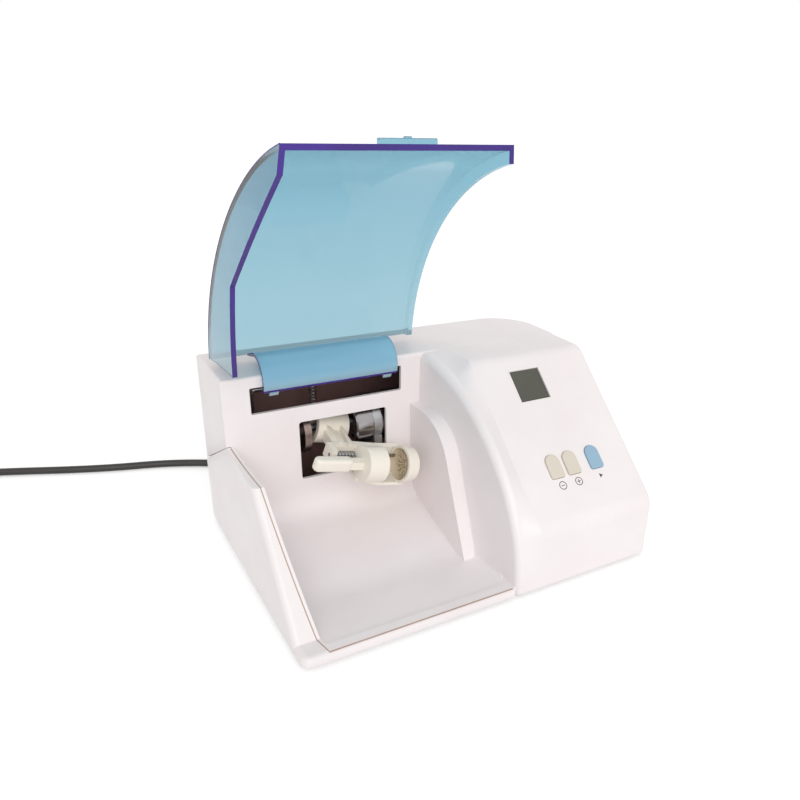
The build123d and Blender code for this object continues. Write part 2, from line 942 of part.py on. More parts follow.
with BuildPart() as upper_housing:
    add(rear_block.part)
    add(control_block.part)
    add(hood.part)
    add(tray_block.part)
    add(rear_space.part, mode=Mode.SUBTRACT)
    add(control_space.part, mode=Mode.SUBTRACT)
    add(well_space.part, mode=Mode.SUBTRACT)
    add(cheek_solid(cheek_left, block_left, 0, deck_front))
    add(cheek_solid(cheek_left + tray_wall, block_left + wall + 1, tray_wall, deck_front), mode=Mode.SUBTRACT)
    add(tray_space.part, mode=Mode.SUBTRACT)
    add(base_envelope(seam_gap), mode=Mode.SUBTRACT)
    add(housing_posts.part)
    with BuildSketch(under_panel):
        with Locations(*board_spots):
            Circle(board_post / 2)
    extrude(amount=-board_gap)
    with BuildSketch(under_panel.offset(-board_gap)):
        with Locations(*board_spots):
            Circle(screw_diameter / 2 + screw_clearance / 2)
    extrude(amount=board_gap - 1, mode=Mode.SUBTRACT)
    # pockets above the lid's hinge arms
    for arm_left in arm_lefts:
        with BuildSketch(side_plane(arm_left - seam_gap)):
            with Locations((from_front(hinge_from_front), up(hinge_up))):
                Circle(hinge_boss_diameter / 2 + seam_gap)
        extrude(amount=hinge_arm_width + 2 * seam_gap, mode=Mode.SUBTRACT)
    # slot for the lid's tongue and window for the capsule arm
    window_plane = Plane.XZ.offset(-from_front(deck_front))
    with BuildSketch(window_plane):
        with Locations((from_left(slot_left + slot_width / 2), up(slot_bottom + slot_height / 2))):
            RectangleRounded(slot_width, slot_height, slot_corner)
        with Locations((from_left(window_left + window_width / 2), up(window_bottom + window_height / 2))):
            RectangleRounded(window_width, window_height, window_corner)
    extrude(amount=-wall, both=True, mode=Mode.SUBTRACT)
    # openings of the panel
    with BuildSketch(panel_plane):
        with Locations((lcd_from_left, lcd_from_fold)):
            Rectangle(lcd_width, lcd_length)
        for centre in button_centres:
            with Locations((centre, button_from_fold)):
                add(button_outline(button_clearance))
    extrude(amount=wall + 1, both=True, mode=Mode.SUBTRACT)
    # cooling slots in the rear wall
    with BuildSketch(rear_plane):
        for index in range(vent_count):
            with Locations((-(vent_left + index * vent_pitch), vent_up)):
                SlotOverall(vent_height, vent_width, rotation=90)
    extrude(amount=-2 * wall, mode=Mode.SUBTRACT)
print("upper", upper_housing.part.volume, len(upper_housing.solids()), upper_housing.part.is_valid)
upper_housing.part.label = "upper_housing"
export_step(upper_housing.part, "parts/upper_housing.step")

damper_spots = [(from_left(x), from_front(y)) for x in damper_xs for y in damper_ys]
supply_spots = [
    (from_left(x), from_front(y))
    for x in (supply_left + supply_post_inset, supply_right - supply_post_inset)
    for y in (supply_front + supply_post_inset, supply_back - supply_post_inset)
]

with BuildPart() as base_shell:
    add(base_envelope(0))
    # the left wall's outer edges and the corner beside them are rounded
    outer_left = base_shell.edges().filter_by(
        lambda e: abs(e.center().X - casing_left) < 0.01 and e.center().Y < from_front(rim_knee_from_front)
    )
    fillet(outer_left.filter_by(Axis.Z), radius=front_corner_radius)
    outer_left = base_shell.edges().filter_by(
        lambda e: abs(e.center().X - casing_left) < 0.01
        and e.center().Y < from_front(rim_knee_from_front)
        and e.center().Z > up(rim_height - 1)
    )
    fillet(outer_left, radius=rim_edge_radius)
    with BuildSketch(side_plane(wall)):
        with BuildLine():
            Polyline(
                *side_points(
                    [
                        (wall, base_plate),
                        (wall, rim_height - wall),
                        (rim_front_run + wall, rim_height - wall),
                        (rim_knee_from_front + wall, rim_knee_height - wall),
                        (deck_front + 1, rim_back_height - wall),
                        (deck_front + 1, base_plate),
                    ]
                ),
                close=True,
            )
        make_face()
    extrude(amount=rim_left_front, mode=Mode.SUBTRACT)
    # bosses for the housing screws, the dampers and the supply board
    with BuildSketch(Plane.XY.offset(up(0))):
        with Locations(*post_spots):
            Circle(post_diameter / 2)
    extrude(amount=post_foot - screw_clearance)
    with BuildSketch(Plane.XY.offset(up(0))):
        with Locations(*damper_spots):
            Circle(damper_diameter / 2)
    extrude(amount=damper_foot)
    with BuildSketch(Plane.XY.offset(up(0))):
        with Locations(*supply_spots):
            Circle(supply_post / 2)
    extrude(amount=supply_up)
    with BuildSketch(Plane.XY.offset(up(0))):
        with Locations(*post_spots):
            Circle(screw_diameter / 2 + screw_clearance / 2)
        with Locations(*[(from_left(x), from_front(y)) for x, y in foot_spots]):
            Circle(foot_stem / 2 + screw_clearance / 2)
    extrude(amount=post_foot, mode=Mode.SUBTRACT)
    with BuildSketch(Plane.XY.offset(up(0))):
        with Locations(*post_spots):
            Circle(screw_head / 2 + 2 * screw_clearance)
    extrude(amount=base_plate, mode=Mode.SUBTRACT)
    with BuildSketch(Plane.XY.offset(up(base_plate))):
        with Locations(*damper_spots):
            Circle(screw_diameter / 2 + screw_clearance / 2)
        with Locations(*supply_spots):
            Circle(screw_diameter / 2 + screw_clearance / 2)
    extrude(amount=damper_foot, mode=Mode.SUBTRACT)
    # openings of the rear wall
    with BuildSketch(rear_plane):
        with Locations((-gland_from_left, gland_up)):
            Circle(gland_body / 2)
        with Locations((-switch_from_left, rear_fitting_up)):
            Rectangle(switch_width - 2, switch_height - 2)
        with Locations((-fuse_from_left, rear_fitting_up)):
            Circle(fuse_diameter / 2)
    extrude(amount=-2 * wall, mode=Mode.SUBTRACT)
print("base", base_shell.part.volume, len(base_shell.solids()), base_shell.part.is_valid)
base_shell.part.label = "base_shell"
export_step(base_shell.part, "parts/base_shell.step")

# ------------------------------------------------------------------ lid
opened = radians(lid_opening)
hinge_y = from_front(hinge_from_front)
hinge_z = up(hinge_up)


def lid_plane(distance):
    """Side plane of the lid: x and y are the closed lid's Y and Z from the hinge."""
    return Plane(
        origin=(from_left(distance), hinge_y, hinge_z),
        x_dir=(0, cos(opened), -sin(opened)),
        z_dir=(1, 0, 0),
    )


def lid_points(pairs):
    return [(y - hinge_from_front, z - hinge_up) for y, z in pairs]


lid_plan = Plane(origin=(casing_left, hinge_y, hinge_z), x_dir=(1, 0, 0), z_dir=(0, sin(opened), cos(opened)))
lid_front = (lid_nose, rim_height + lid_gap)
lid_crown = (lid_crown_from_front, lid_crown_height)
lid_back = (lid_back_from_front, lid_back_height)


def lid_arc(depth):
    """The shell's curve, moved inwards by depth along its radius."""
    (x1, y1), (x2, y2), (x3, y3) = lid_points([lid_front, lid_crown, lid_back])
    square1, square2, square3 = (x1**2 + y1**2, x2**2 + y2**2, x3**2 + y3**2)
    twice = 2 * (x1 * (y2 - y3) + x2 * (y3 - y1) + x3 * (y1 - y2))
    centre_x = (square1 * (y2 - y3) + square2 * (y3 - y1) + square3 * (y1 - y2)) / twice
    centre_y = (square1 * (x3 - x2) + square2 * (x1 - x3) + square3 * (x2 - x1)) / twice
    radius = sqrt((x1 - centre_x) ** 2 + (y1 - centre_y) ** 2)
    scale = (radius - depth) / radius
    ends = ((x1, y1), (x2, y2), (x3, y3))
    return [(centre_x + (x - centre_x) * scale, centre_y + (y - centre_y) * scale) for x, y in ends]


def lid_plan_outline(inset):
    """Plan of the lid, closed: curved left side, straight front and right side."""
    with BuildSketch(lid_plan.offset(-2 * body_height)) as outline:
        with BuildLine():
            front_left = (rim_left_front + inset, rim_front - hinge_from_front)
            middle_left = (rim_left_mid + inset, rim_knee_from_front - hinge_from_front)
            back_left = (rim_left_back + inset, deck_front - hinge_from_front)
            ThreePointArc(front_left, middle_left, back_left)
            Polyline(
                back_left,
                (rim_left_back + inset, hinge_from_front / 2),
                (lid_right - inset, hinge_from_front / 2),
                (lid_right - inset, -hinge_from_front - 10),
                (rim_left_front + inset, -hinge_from_front - 10),
                front_left,
            )
        make_face()
    return outline.sketch


lid_side_edge = [
    (lid_nose, rim_height + lid_gap),
    (rim_front_run - lid_gap, rim_height + lid_gap),
    (rim_knee_from_front - lid_gap, rim_knee_height + lid_gap),
    (deck_front - lid_gap, lid_side_back_height),
    (deck_front - lid_side_relief, hinge_up),
]

with BuildPart() as lid_outer:
    with BuildSketch(lid_plane(0)):
        with BuildLine():
            ThreePointArc(*lid_arc(0))
            Polyline(lid_arc(0)[2], *reversed(lid_points(lid_side_edge[1:])), lid_arc(0)[0])
        make_face()
    extrude(amount=body_width)
    add(lid_plan_outline(0))
    extrude(amount=4 * body_height, dir=lid_plan.z_dir, mode=Mode.INTERSECT)

with BuildPart() as lid_inner:
    with BuildSketch(lid_plane(0)):
        with BuildLine():
            inner_front, inner_crown, inner_back = lid_arc(lid_wall)
            ThreePointArc(inner_front, inner_crown, inner_back)
            Polyline(
                inner_back,
                (inner_back[0] + hinge_from_front, inner_back[1]),
                (inner_back[0] + hinge_from_front, -2 * body_height),
                (inner_front[0], -2 * body_height),
                inner_front,
            )
        make_face()
    extrude(amount=body_width)
    add(lid_plan_outline(lid_wall))
    extrude(amount=4 * body_height, dir=lid_plan.z_dir, mode=Mode.INTERSECT)

with BuildPart() as lid:
    add(lid_outer.part)
    add(lid_inner.part, mode=Mode.SUBTRACT)
    # the right side is only a shallow flange along the shell
    with BuildSketch(lid_plane(lid_right - 2 * lid_wall)):
        with BuildLine():
            flange_front, flange_crown, flange_back = lid_arc(lid_flange_depth)
            ThreePointArc(flange_front, flange_crown, flange_back)
            Polyline(
                flange_back,
                (flange_back[0] + hinge_from_front, flange_back[1]),
                (flange_back[0] + hinge_from_front, -2 * body_height),
                (flange_front[0], -2 * body_height),
                flange_front,
            )
        make_face()
    extrude(amount=3 * lid_wall, mode=Mode.SUBTRACT)
    # tongue that rolls over the deck's edge and into the slot
    tongue_outer_radius = tongue_inner_radius + tongue_thickness
    with BuildSketch(lid_plane(tongue_left)):
        with BuildLine():
            outer_arc = CenterArc((0, 0), tongue_outer_radius, tongue_start, tongue_end - tongue_start)
            inner_arc = CenterArc((0, 0), tongue_inner_radius, tongue_start, tongue_end - tongue_start)
            Line(outer_arc @ 1, inner_arc @ 1)
            Polyline(outer_arc @ 0, lid_arc(0)[2], lid_arc(lid_wall)[2], inner_arc @ 0)
        make_face()
    extrude(amount=tongue_width)
    # arms from the tongue's lower edge to the hinge pin
    for arm_left in arm_lefts:
        with BuildSketch(lid_plane(arm_left)):
            with BuildLine():
                lap = tongue_end - hinge_arm_lap
                rim_edge = CenterArc((0, 0), tongue_outer_radius, lap, hinge_arm_end - lap)
                root_edge = CenterArc((0, 0), tongue_inner_radius, lap, hinge_arm_start - lap)
                Polyline(rim_edge @ 1, (0, 0), root_edge @ 1)
                Line(rim_edge @ 0, root_edge @ 0)
            make_face()
            Circle(hinge_boss_diameter / 2)
        extrude(amount=hinge_arm_width)
    with BuildSketch(lid_plane(tongue_left)):
        Circle(hinge_pin_diameter / 2 + pin_clearance)
    extrude(amount=tongue_width, mode=Mode.SUBTRACT)
    # thumb tab on the front edge
    tab_u, tab_v = lid_arc(0)[0]
    with BuildSketch(lid_plane(lid_tab_left)) as tab_profile:
        with Locations((tab_u + (lid_tab_root - lid_tab_reach) / 2, tab_v + lid_tab_thickness / 2)):
            Rectangle(lid_tab_root + lid_tab_reach, lid_tab_thickness)
        fillet(tab_profile.vertices().sort_by(Axis.X)[:2], radius=lid_tab_thickness / 3)
    extrude(amount=lid_tab_width)
    with BuildSketch(lid_plane(lid_tab_left + lid_tab_width / 2 - lid_tab_nub)):
        with Locations((tab_u - lid_tab_reach, tab_v + lid_tab_thickness / 2)):
            Circle(lid_tab_thickness / 4)
    extrude(amount=2 * lid_tab_nub)
print("lid", lid.part.volume, len(lid.solids()), lid.part.is_valid)
lid.part.label = "lid"
export_step(lid.part, "parts/lid.step")

# ---------------------------------------------------------- feet and fasteners
with BuildPart() as rubber_feet:
    with BuildSketch(Plane.XY):
        with Locations(*[(from_left(x), from_front(y)) for x, y in foot_spots]):
            Circle(foot_diameter / 2)
    extrude(amount=foot_height)
    with BuildSketch(Plane.XY.offset(foot_height)):
        with Locations(*[(from_left(x), from_front(y)) for x, y in foot_spots]):
            Circle(foot_stem / 2)
    extrude(amount=base_plate)
rubber_feet.part.label = "rubber_feet"
export_step(rubber_feet.part, "parts/rubber_feet.step")


def screws(spots, plane, head_height, length):
    """Screws with their heads on the plane, shanks going against its normal."""
    with BuildPart() as group:
        with BuildSketch(plane):
            with Locations(*spots):
                Circle(screw_head / 2)
        extrude(amount=head_height)
        with BuildSketch(plane):
            with Locations(*spots):
                Circle(screw_diameter / 2)
        extrude(amount=-length)
        with BuildSketch(plane.offset(head_height)):
            with Locations(*spots):
                Rectangle(screw_head * 0.75, screw_head / 8)
                Rectangle(screw_head / 8, screw_head * 0.75)
        extrude(amount=-head_height / 2, mode=Mode.SUBTRACT)
    return group.part


under_side = Plane(origin=(0, 0, up(base_plate)), x_dir=(1, 0, 0), z_dir=(0, 0, -1))
housing_screws = screws(
    [(x, -y) for x, y in post_spots], under_side, screw_head_height, post_foot + screw_bite - base_plate
)
housing_screws.label = "housing_screws"
export_step(housing_screws, "parts/housing_screws.step")

# ---------------------------------------------------------------------- hinge
bracket_lefts = (
    arm_lefts[0] - bracket_thickness - seam_gap,
    arm_lefts[1] + hinge_arm_width + seam_gap,
)
with BuildPart() as hinge_brackets:
    for bracket_left in bracket_lefts:
        with BuildSketch(side_plane(bracket_left)):
            with Locations((from_front(hinge_from_front), up((body_height - wall + hinge_up - bracket_drop) / 2))):
                Rectangle(bracket_width, body_height - wall - hinge_up + bracket_drop)
            with Locations((from_front(hinge_from_front), up(hinge_up))):
                Circle(hinge_pin_diameter / 2, mode=Mode.SUBTRACT)
        extrude(amount=bracket_thickness)
hinge_brackets.part.label = "hinge_brackets"
export_step(hinge_brackets.part, "parts/hinge_brackets.step")

with BuildPart() as hinge_pin:
    with BuildSketch(side_plane(bracket_lefts[0] - 1)):
        with Locations((from_front(hinge_from_front), up(hinge_up))):
            Circle(hinge_pin_diameter / 2)
    extrude(amount=bracket_lefts[1] - bracket_lefts[0] + bracket_thickness + 2)
hinge_pin.part.label = "hinge_pin"
export_step(hinge_pin.part, "parts/hinge_pin.step")

# -------------------------------------------------------------------- chassis
with BuildPart() as drive_chassis:
    with BuildSketch(Plane.XY.offset(up(chassis_up))):
        with Locations((from_left((chassis_left + chassis_right) / 2), from_front((chassis_front + chassis_back) / 2))):
            Rectangle(chassis_right - chassis_left, chassis_back - chassis_front)
        with Locations(*damper_spots):
            Circle(screw_diameter / 2 + screw_clearance / 2, mode=Mode.SUBTRACT)
    extrude(amount=chassis_sheet)
    with BuildSketch(side_plane(chassis_left)):
        with BuildLine():
            Polyline(
                *side_points(
                    [
                        (chassis_front, chassis_up),
                        (chassis_front, chassis_shoulder),
                        (chassis_arm_front, chassis_shoulder),
                        (chassis_arm_front, chassis_arm_height),
                        (chassis_back, chassis_arm_height),
                        (chassis_back, chassis_up),
                    ]
                ),
                close=True,
            )
        make_face()
        with Locations((from_front(shaft_from_front), up(shaft_up))):
            Circle(bearing_diameter / 2, mode=Mode.SUBTRACT)
    extrude(amount=chassis_sheet)
drive_chassis.part.label = "drive_chassis"
export_step(drive_chassis.part, "parts/drive_chassis.step")

with BuildPart() as dampers:
    with BuildSketch(Plane.XY.offset(up(damper_foot))):
        with Locations(*damper_spots):
            Circle(damper_diameter / 2)
        with Locations(*damper_spots):
            Circle(screw_diameter / 2 + screw_clearance / 2, mode=Mode.SUBTRACT)
    extrude(amount=chassis_up - damper_foot)
dampers.part.label = "dampers"
export_step(dampers.part, "parts/dampers.step")

chassis_top = Plane.XY.offset(up(chassis_up + chassis_sheet))
chassis_screws = screws(damper_spots, chassis_top, screw_head_height, chassis_up + chassis_sheet - base_plate - 2)
chassis_screws.label = "chassis_screws"
export_step(chassis_screws, "parts/chassis_screws.step")

with BuildPart() as bearing_block:
    block_height = shaft_up - chassis_up - chassis_sheet
    with BuildSketch(on_axis(block_from_left)) as block_face:
        with Locations((0, -block_height / 2)):
            Rectangle(block_depth, block_height)
        Circle(block_depth / 2)
        Circle(bearing_diameter / 2, mode=Mode.SUBTRACT)
    extrude(amount=block_width)
bearing_block.part.label = "bearing_block"
export_step(bearing_block.part, "parts/bearing_block.step")

with BuildPart() as end_bearing:
    with BuildSketch(on_axis(block_from_left + (block_width - bearing_width) / 2)):
        Circle(bearing_diameter / 2)
        Circle(shaft_diameter / 2 + running_clearance, mode=Mode.SUBTRACT)
    extrude(amount=bearing_width)
    with BuildSketch(on_axis(block_from_left + (block_width + bearing_width) / 2)):
        Circle(bearing_diameter / 2 - 1.5)
        Circle(shaft_diameter / 2 + 1.5, mode=Mode.SUBTRACT)
    extrude(amount=-bearing_width / 6, mode=Mode.SUBTRACT)
end_bearing.part.label = "end_bearing"
export_step(end_bearing.part, "parts/end_bearing.step")

# ---------------------------------------------------------------------- motor
with BuildPart() as motor_saddles:
    for saddle_left in saddle_lefts:
        with BuildSketch(on_axis(saddle_left)):
            with Locations((0, chassis_up + chassis_sheet + saddle_height / 2 - shaft_up)):
                Rectangle(motor_diameter, saddle_height)
            Circle(motor_diameter / 2, mode=Mode.SUBTRACT)
        extrude(amount=saddle_width)
motor_saddles.part.label = "motor_saddles"
export_step(motor_saddles.part, "parts/motor_saddles.step")

with BuildPart() as motor_straps:
    for saddle_left in saddle_lefts:
        with BuildSketch(on_axis(saddle_left)):
            Circle(motor_diameter / 2 + strap_thickness)
            Circle(motor_diameter / 2, mode=Mode.SUBTRACT)
            with Locations((0, chassis_up + chassis_sheet + saddle_height - shaft_up)):
                Rectangle(2 * motor_diameter, motor_diameter, align=(Align.CENTER, Align.MAX), mode=Mode.SUBTRACT)
        extrude(amount=saddle_width)
motor_straps.part.label = "motor_straps"
export_step(motor_straps.part, "parts/motor_straps.step")

with BuildPart() as motor_can:
    with BuildSketch(on_axis(motor_left + motor_cap)):
        Circle(motor_diameter / 2)
        Circle(motor_diameter / 2 - motor_shell, mode=Mode.SUBTRACT)
    extrude(amount=motor_right - motor_left - 2 * motor_cap)
motor_can.part.label = "motor_can"
export_step(motor_can.part, "parts/motor_can.step")

with BuildPart() as motor_caps:
    for cap_left in (motor_left, motor_right - motor_cap):
        with BuildSketch(on_axis(cap_left)):
            Circle(motor_diameter / 2)
            Circle(shaft_diameter / 2 + running_clearance, mode=Mode.SUBTRACT)
            with PolarLocations(motor_diameter / 3, 4, start_angle=45):
                Circle(screw_diameter / 2, mode=Mode.SUBTRACT)
        extrude(amount=motor_cap)
    chamfer(motor_caps.edges().filter_by(GeomType.CIRCLE).group_by(SortBy.RADIUS)[-1].sort_by(Axis.X)[0], 1)
motor_caps.part.label = "motor_caps"
export_step(motor_caps.part, "parts/motor_caps.step")

magnet_outer = motor_diameter / 2 - motor_shell
with BuildPart() as motor_magnets:
    with BuildSketch(on_axis(motor_left + motor_cap + magnet_margin)):
        Circle(magnet_outer)
        Circle(magnet_outer - magnet_thickness, mode=Mode.SUBTRACT)
        Rectangle(2 * motor_diameter, motor_diameter / 4, mode=Mode.SUBTRACT)
    extrude(amount=motor_right - motor_left - 2 * motor_cap - 2 * magnet_margin)
motor_magnets.part.label = "motor_magnets"
export_step(motor_magnets.part, "parts/motor_magnets.step")

# ----------------------------------------------------------------- turning set
with BuildPart() as drive_shaft:
    with BuildSketch(on_axis(shaft_left)):
        Circle(shaft_diameter / 2)
    extrude(amount=shaft_right - shaft_left)
    chamfer(drive_shaft.edges(), 0.5)
drive_shaft.part.label = "drive_shaft"
export_step(drive_shaft.part, "parts/drive_shaft.step")

with BuildPart() as motor_rotor:
    with BuildSketch(on_axis(motor_left + motor_cap + magnet_margin + 1)):
        Circle(magnet_outer - magnet_thickness - rotor_gap)
        with PolarLocations(magnet_outer - magnet_thickness - rotor_gap, 9):
            Rectangle(4, 1.6, mode=Mode.SUBTRACT)
        Circle(shaft_diameter / 2, mode=Mode.SUBTRACT)
    extrude(amount=motor_right - motor_left - 2 * motor_cap - 2 * magnet_margin - 2)
motor_rotor.part.label = "motor_rotor"
export_step(motor_rotor.part, "parts/motor_rotor.step")

with BuildPart() as balance_disc:
    with BuildSketch(on_axis(disc_left)):
        Circle(disc_diameter / 2)
    extrude(amount=disc_thickness)
    with BuildSketch(on_axis(disc_left)):
        Circle(disc_diameter / 2 - disc_rim)
        Circle(shaft_diameter, mode=Mode.SUBTRACT)
    extrude(amount=disc_dish, mode=Mode.SUBTRACT)
    with BuildSketch(on_axis(disc_left + disc_thickness)):
        Circle(disc_diameter / 2 - disc_rim)
        Circle(shaft_diameter, mode=Mode.SUBTRACT)
    extrude(amount=-disc_dish, mode=Mode.SUBTRACT)
    with BuildSketch(on_axis(disc_left)):
        Circle(shaft_diameter / 2)
        with Locations((0, disc_diameter / 3)):
            Circle(screw_diameter / 2)
    extrude(amount=disc_thickness, mode=Mode.SUBTRACT)
balance_disc.part.label = "balance_disc"
export_step(balance_disc.part, "parts/balance_disc.step")

with BuildPart() as hub_ball:
    with BuildSketch(Plane(origin=(from_left(sleeve_from_left), from_front(shaft_from_front), up(shaft_up)))):
        with BuildLine():
            half = ball_width / 2
            side = sqrt((ball_diameter / 2) ** 2 - half**2)
            ThreePointArc((-half, side), (0, ball_diameter / 2), (half, side))
            Polyline((half, side), (half, shaft_diameter / 2), (-half, shaft_diameter / 2), (-half, side))
        make_face()
    revolve(axis=Axis((from_left(sleeve_from_left), from_front(shaft_from_front), up(shaft_up)), (1, 0, 0)))
hub_ball.part.label = "hub_ball"
export_step(hub_ball.part, "parts/hub_ball.step")

with BuildPart() as cooling_fan:
    with BuildSketch(on_axis(fan_left)):
        Circle(fan_hub / 2)
    extrude(amount=fan_thickness)
    for index in range(fan_blades):
        turn = 360 * index / fan_blades
        blade_plane = Plane(
            origin=(from_left(fan_left + fan_thickness / 2), from_front(shaft_from_front), up(shaft_up)),
            x_dir=(0, cos(radians(turn)), sin(radians(turn))),
            z_dir=(
                sin(radians(fan_pitch)),
                -cos(radians(fan_pitch)) * sin(radians(turn)),
                cos(radians(fan_pitch)) * cos(radians(turn)),
            ),
        )
        with BuildSketch(blade_plane):
            with Locations(((fan_diameter + fan_hub) / 4 - 1, 0)):
                Rectangle((fan_diameter - fan_hub) / 2 + 2, fan_thickness)
        extrude(amount=fan_blade_thickness / 2, both=True)
    with BuildSketch(on_axis(fan_left - 1)):
        Circle(fan_diameter / 2)
    extrude(amount=fan_thickness + 2, mode=Mode.INTERSECT)
    with BuildSketch(on_axis(fan_left)):
        Circle(shaft_diameter / 2)
    extrude(amount=fan_thickness, mode=Mode.SUBTRACT)
cooling_fan.part.label = "cooling_fan"
export_step(cooling_fan.part, "parts/cooling_fan.step")

# -------------------------------------------------------------- capsule holder
yaw = radians(holder_yaw)
pitch = radians(holder_pitch)
droop = radians(holder_droop)
along = Vector(cos(pitch) * cos(yaw), cos(pitch) * sin(yaw), -sin(pitch))
ahead = Vector(sin(yaw), -cos(yaw), 0)
below = Vector(-sin(pitch) * cos(yaw), -sin(pitch) * sin(yaw), -cos(pitch))
forward = ahead * cos(droop) + below * sin(droop)
hub_centre = Vector(from_left(sleeve_from_left), from_front(shaft_from_front), up(shaft_up))
# local x runs along the capsule's axis, local y forward, local z downwards
holder_plane = Plane(origin=hub_centre, x_dir=along, z_dir=along.cross(forward))


def across(distance, reach=0.0):
    """Plane square to the capsule's axis; its local x points forward."""
    return Plane(origin=hub_centre + along * distance + forward * reach, x_dir=forward, z_dir=along)


web_back = spine_reach + spine_width - web_wall
with BuildPart() as holder_arm:
    with BuildSketch(across(-sleeve_length / 2)):
        Circle(sleeve_diameter / 2)
    extrude(amount=sleeve_length)
    with BuildSketch(holder_plane.offset(-arm_thickness / 2)):
        with BuildLine():
            Polyline(
                (-arm_width / 2, 0),
                (-arm_width / 2, spine_reach + spine_width),
                (dish_mouth + dish_length, spine_reach + spine_width),
                (dish_mouth + dish_length, spine_reach),
                (arm_width / 2, spine_reach - spine_width),
                (arm_width / 2, 0),
                close=True,
            )
        make_face()
    extrude(amount=arm_thickness)
    for side in (-1, 1):
        with BuildSketch(holder_plane.offset(-arm_thickness / 2 - arm_rib_height)):
            with BuildLine():
                Polyline(
                    (side * arm_width / 2, 0),
                    (side * (arm_width / 2 - arm_rib), 0),
                    (side * arm_rib / 2, spine_reach + spine_width),
                    (side * arm_rib * 1.5, spine_reach + spine_width),
                    close=True,
                )
            make_face()
        extrude(amount=arm_rib_height)
    # spine, stop and dish with the web under them
    with BuildSketch(holder_plane.offset(-spine_height / 2)):
        with BuildLine():
            Polyline(
                (stop_left, spine_reach),
                (dish_mouth + dish_length, spine_reach),
                (dish_mouth + dish_length, spine_reach + spine_width),
                (stop_left, spine_reach + spine_width),
                close=True,
            )
        make_face()
        with Locations((stop_left + stop_thickness / 2, (spine_reach + rod_reach + rod_diameter) / 2)):
            Rectangle(stop_thickness, rod_reach + rod_diameter - spine_reach)
    extrude(amount=spine_height)
    with BuildSketch(across(dish_mouth, holder_reach)):
        Circle(dish_diameter / 2)
    extrude(amount=dish_length, taper=8)
    with BuildSketch(holder_plane.offset(web_drop - web_thickness)):
        with BuildLine():
            Polyline(
                (web_left, web_back),
                (web_left, holder_reach),
                (jaw_right, holder_reach + web_width / 2),
                (dish_mouth + dish_length / 2, holder_reach + web_width / 2),
                (dish_mouth + dish_length / 2, web_back),
                close=True,
            )
        make_face()
    extrude(amount=web_thickness)
    with BuildSketch(holder_plane):
        with Locations(((web_left + dish_mouth + dish_length / 2) / 2, web_back + web_wall / 2)):
            Rectangle(dish_mouth + dish_length / 2 - web_left, web_wall)
    extrude(amount=web_drop - web_thickness)
    with BuildSketch(holder_plane):
        with Locations((dish_mouth + dish_length / 2 - dish_wall, (web_back + holder_reach + web_width / 2) / 2)):
            Rectangle(2 * dish_wall, holder_reach - web_back + web_width / 2)
    extrude(amount=web_drop - web_thickness)
    # spring lug at the back of the sleeve
    with BuildSketch(holder_plane.offset(-lug_thickness / 2)):
        with Locations((-lug_length / 2, -lug_reach / 2)):
            Rectangle(lug_length, lug_reach)
    extrude(amount=lug_thickness)
    # bores
    with BuildSketch(across(-sleeve_length)):
        Circle(ball_diameter / 2 + sleeve_clearance)
    extrude(amount=2 * sleeve_length, mode=Mode.SUBTRACT)
    with BuildSketch(across(dish_mouth, holder_reach)):
        Circle(dish_diameter / 2 - dish_wall)
    extrude(amount=dish_length - dish_wall, taper=8, mode=Mode.SUBTRACT)
    with BuildSketch(across(dish_mouth + dish_length - dish_wall - dish_rib_height, holder_reach)):
        with PolarLocations(dish_diameter / 4, dish_ribs):
            Rectangle(dish_diameter / 4, dish_rib)
    extrude(amount=dish_rib_height)
    with BuildSketch(across(stop_left, rod_reach)):
        Circle(rod_diameter / 2)
    extrude(amount=dish_mouth + dish_wall - stop_left, mode=Mode.SUBTRACT)
print("holder", holder_arm.part.volume, len(holder_arm.solids()), holder_arm.part.is_valid)
holder_arm.part.label = "holder_arm"
export_step(holder_arm.part, "parts/holder_arm.step")

with BuildPart() as guide_rod:
    with BuildSketch(across(stop_left, rod_reach)):
        Circle(rod_diameter / 2)
    extrude(amount=dish_mouth + dish_wall - stop_left)
guide_rod.part.label = "guide_rod"
export_step(guide_rod.part, "parts/guide_rod.step")

with BuildPart() as thumb_tab:
    with BuildSketch(holder_plane.offset(-tab_height / 2)):
        with Locations(((tab_left + tab_right) / 2, holder_reach)):
            RectangleRounded(tab_right - tab_left, tab_thickness, tab_thickness / 2 - 0.1)
    extrude(amount=tab_height)
    broad_faces = thumb_tab.faces().sort_by(Axis((0, 0, 0), holder_plane.z_dir))
    fillet(broad_faces[0].edges() + broad_faces[-1].edges(), radius=tab_edge_radius)

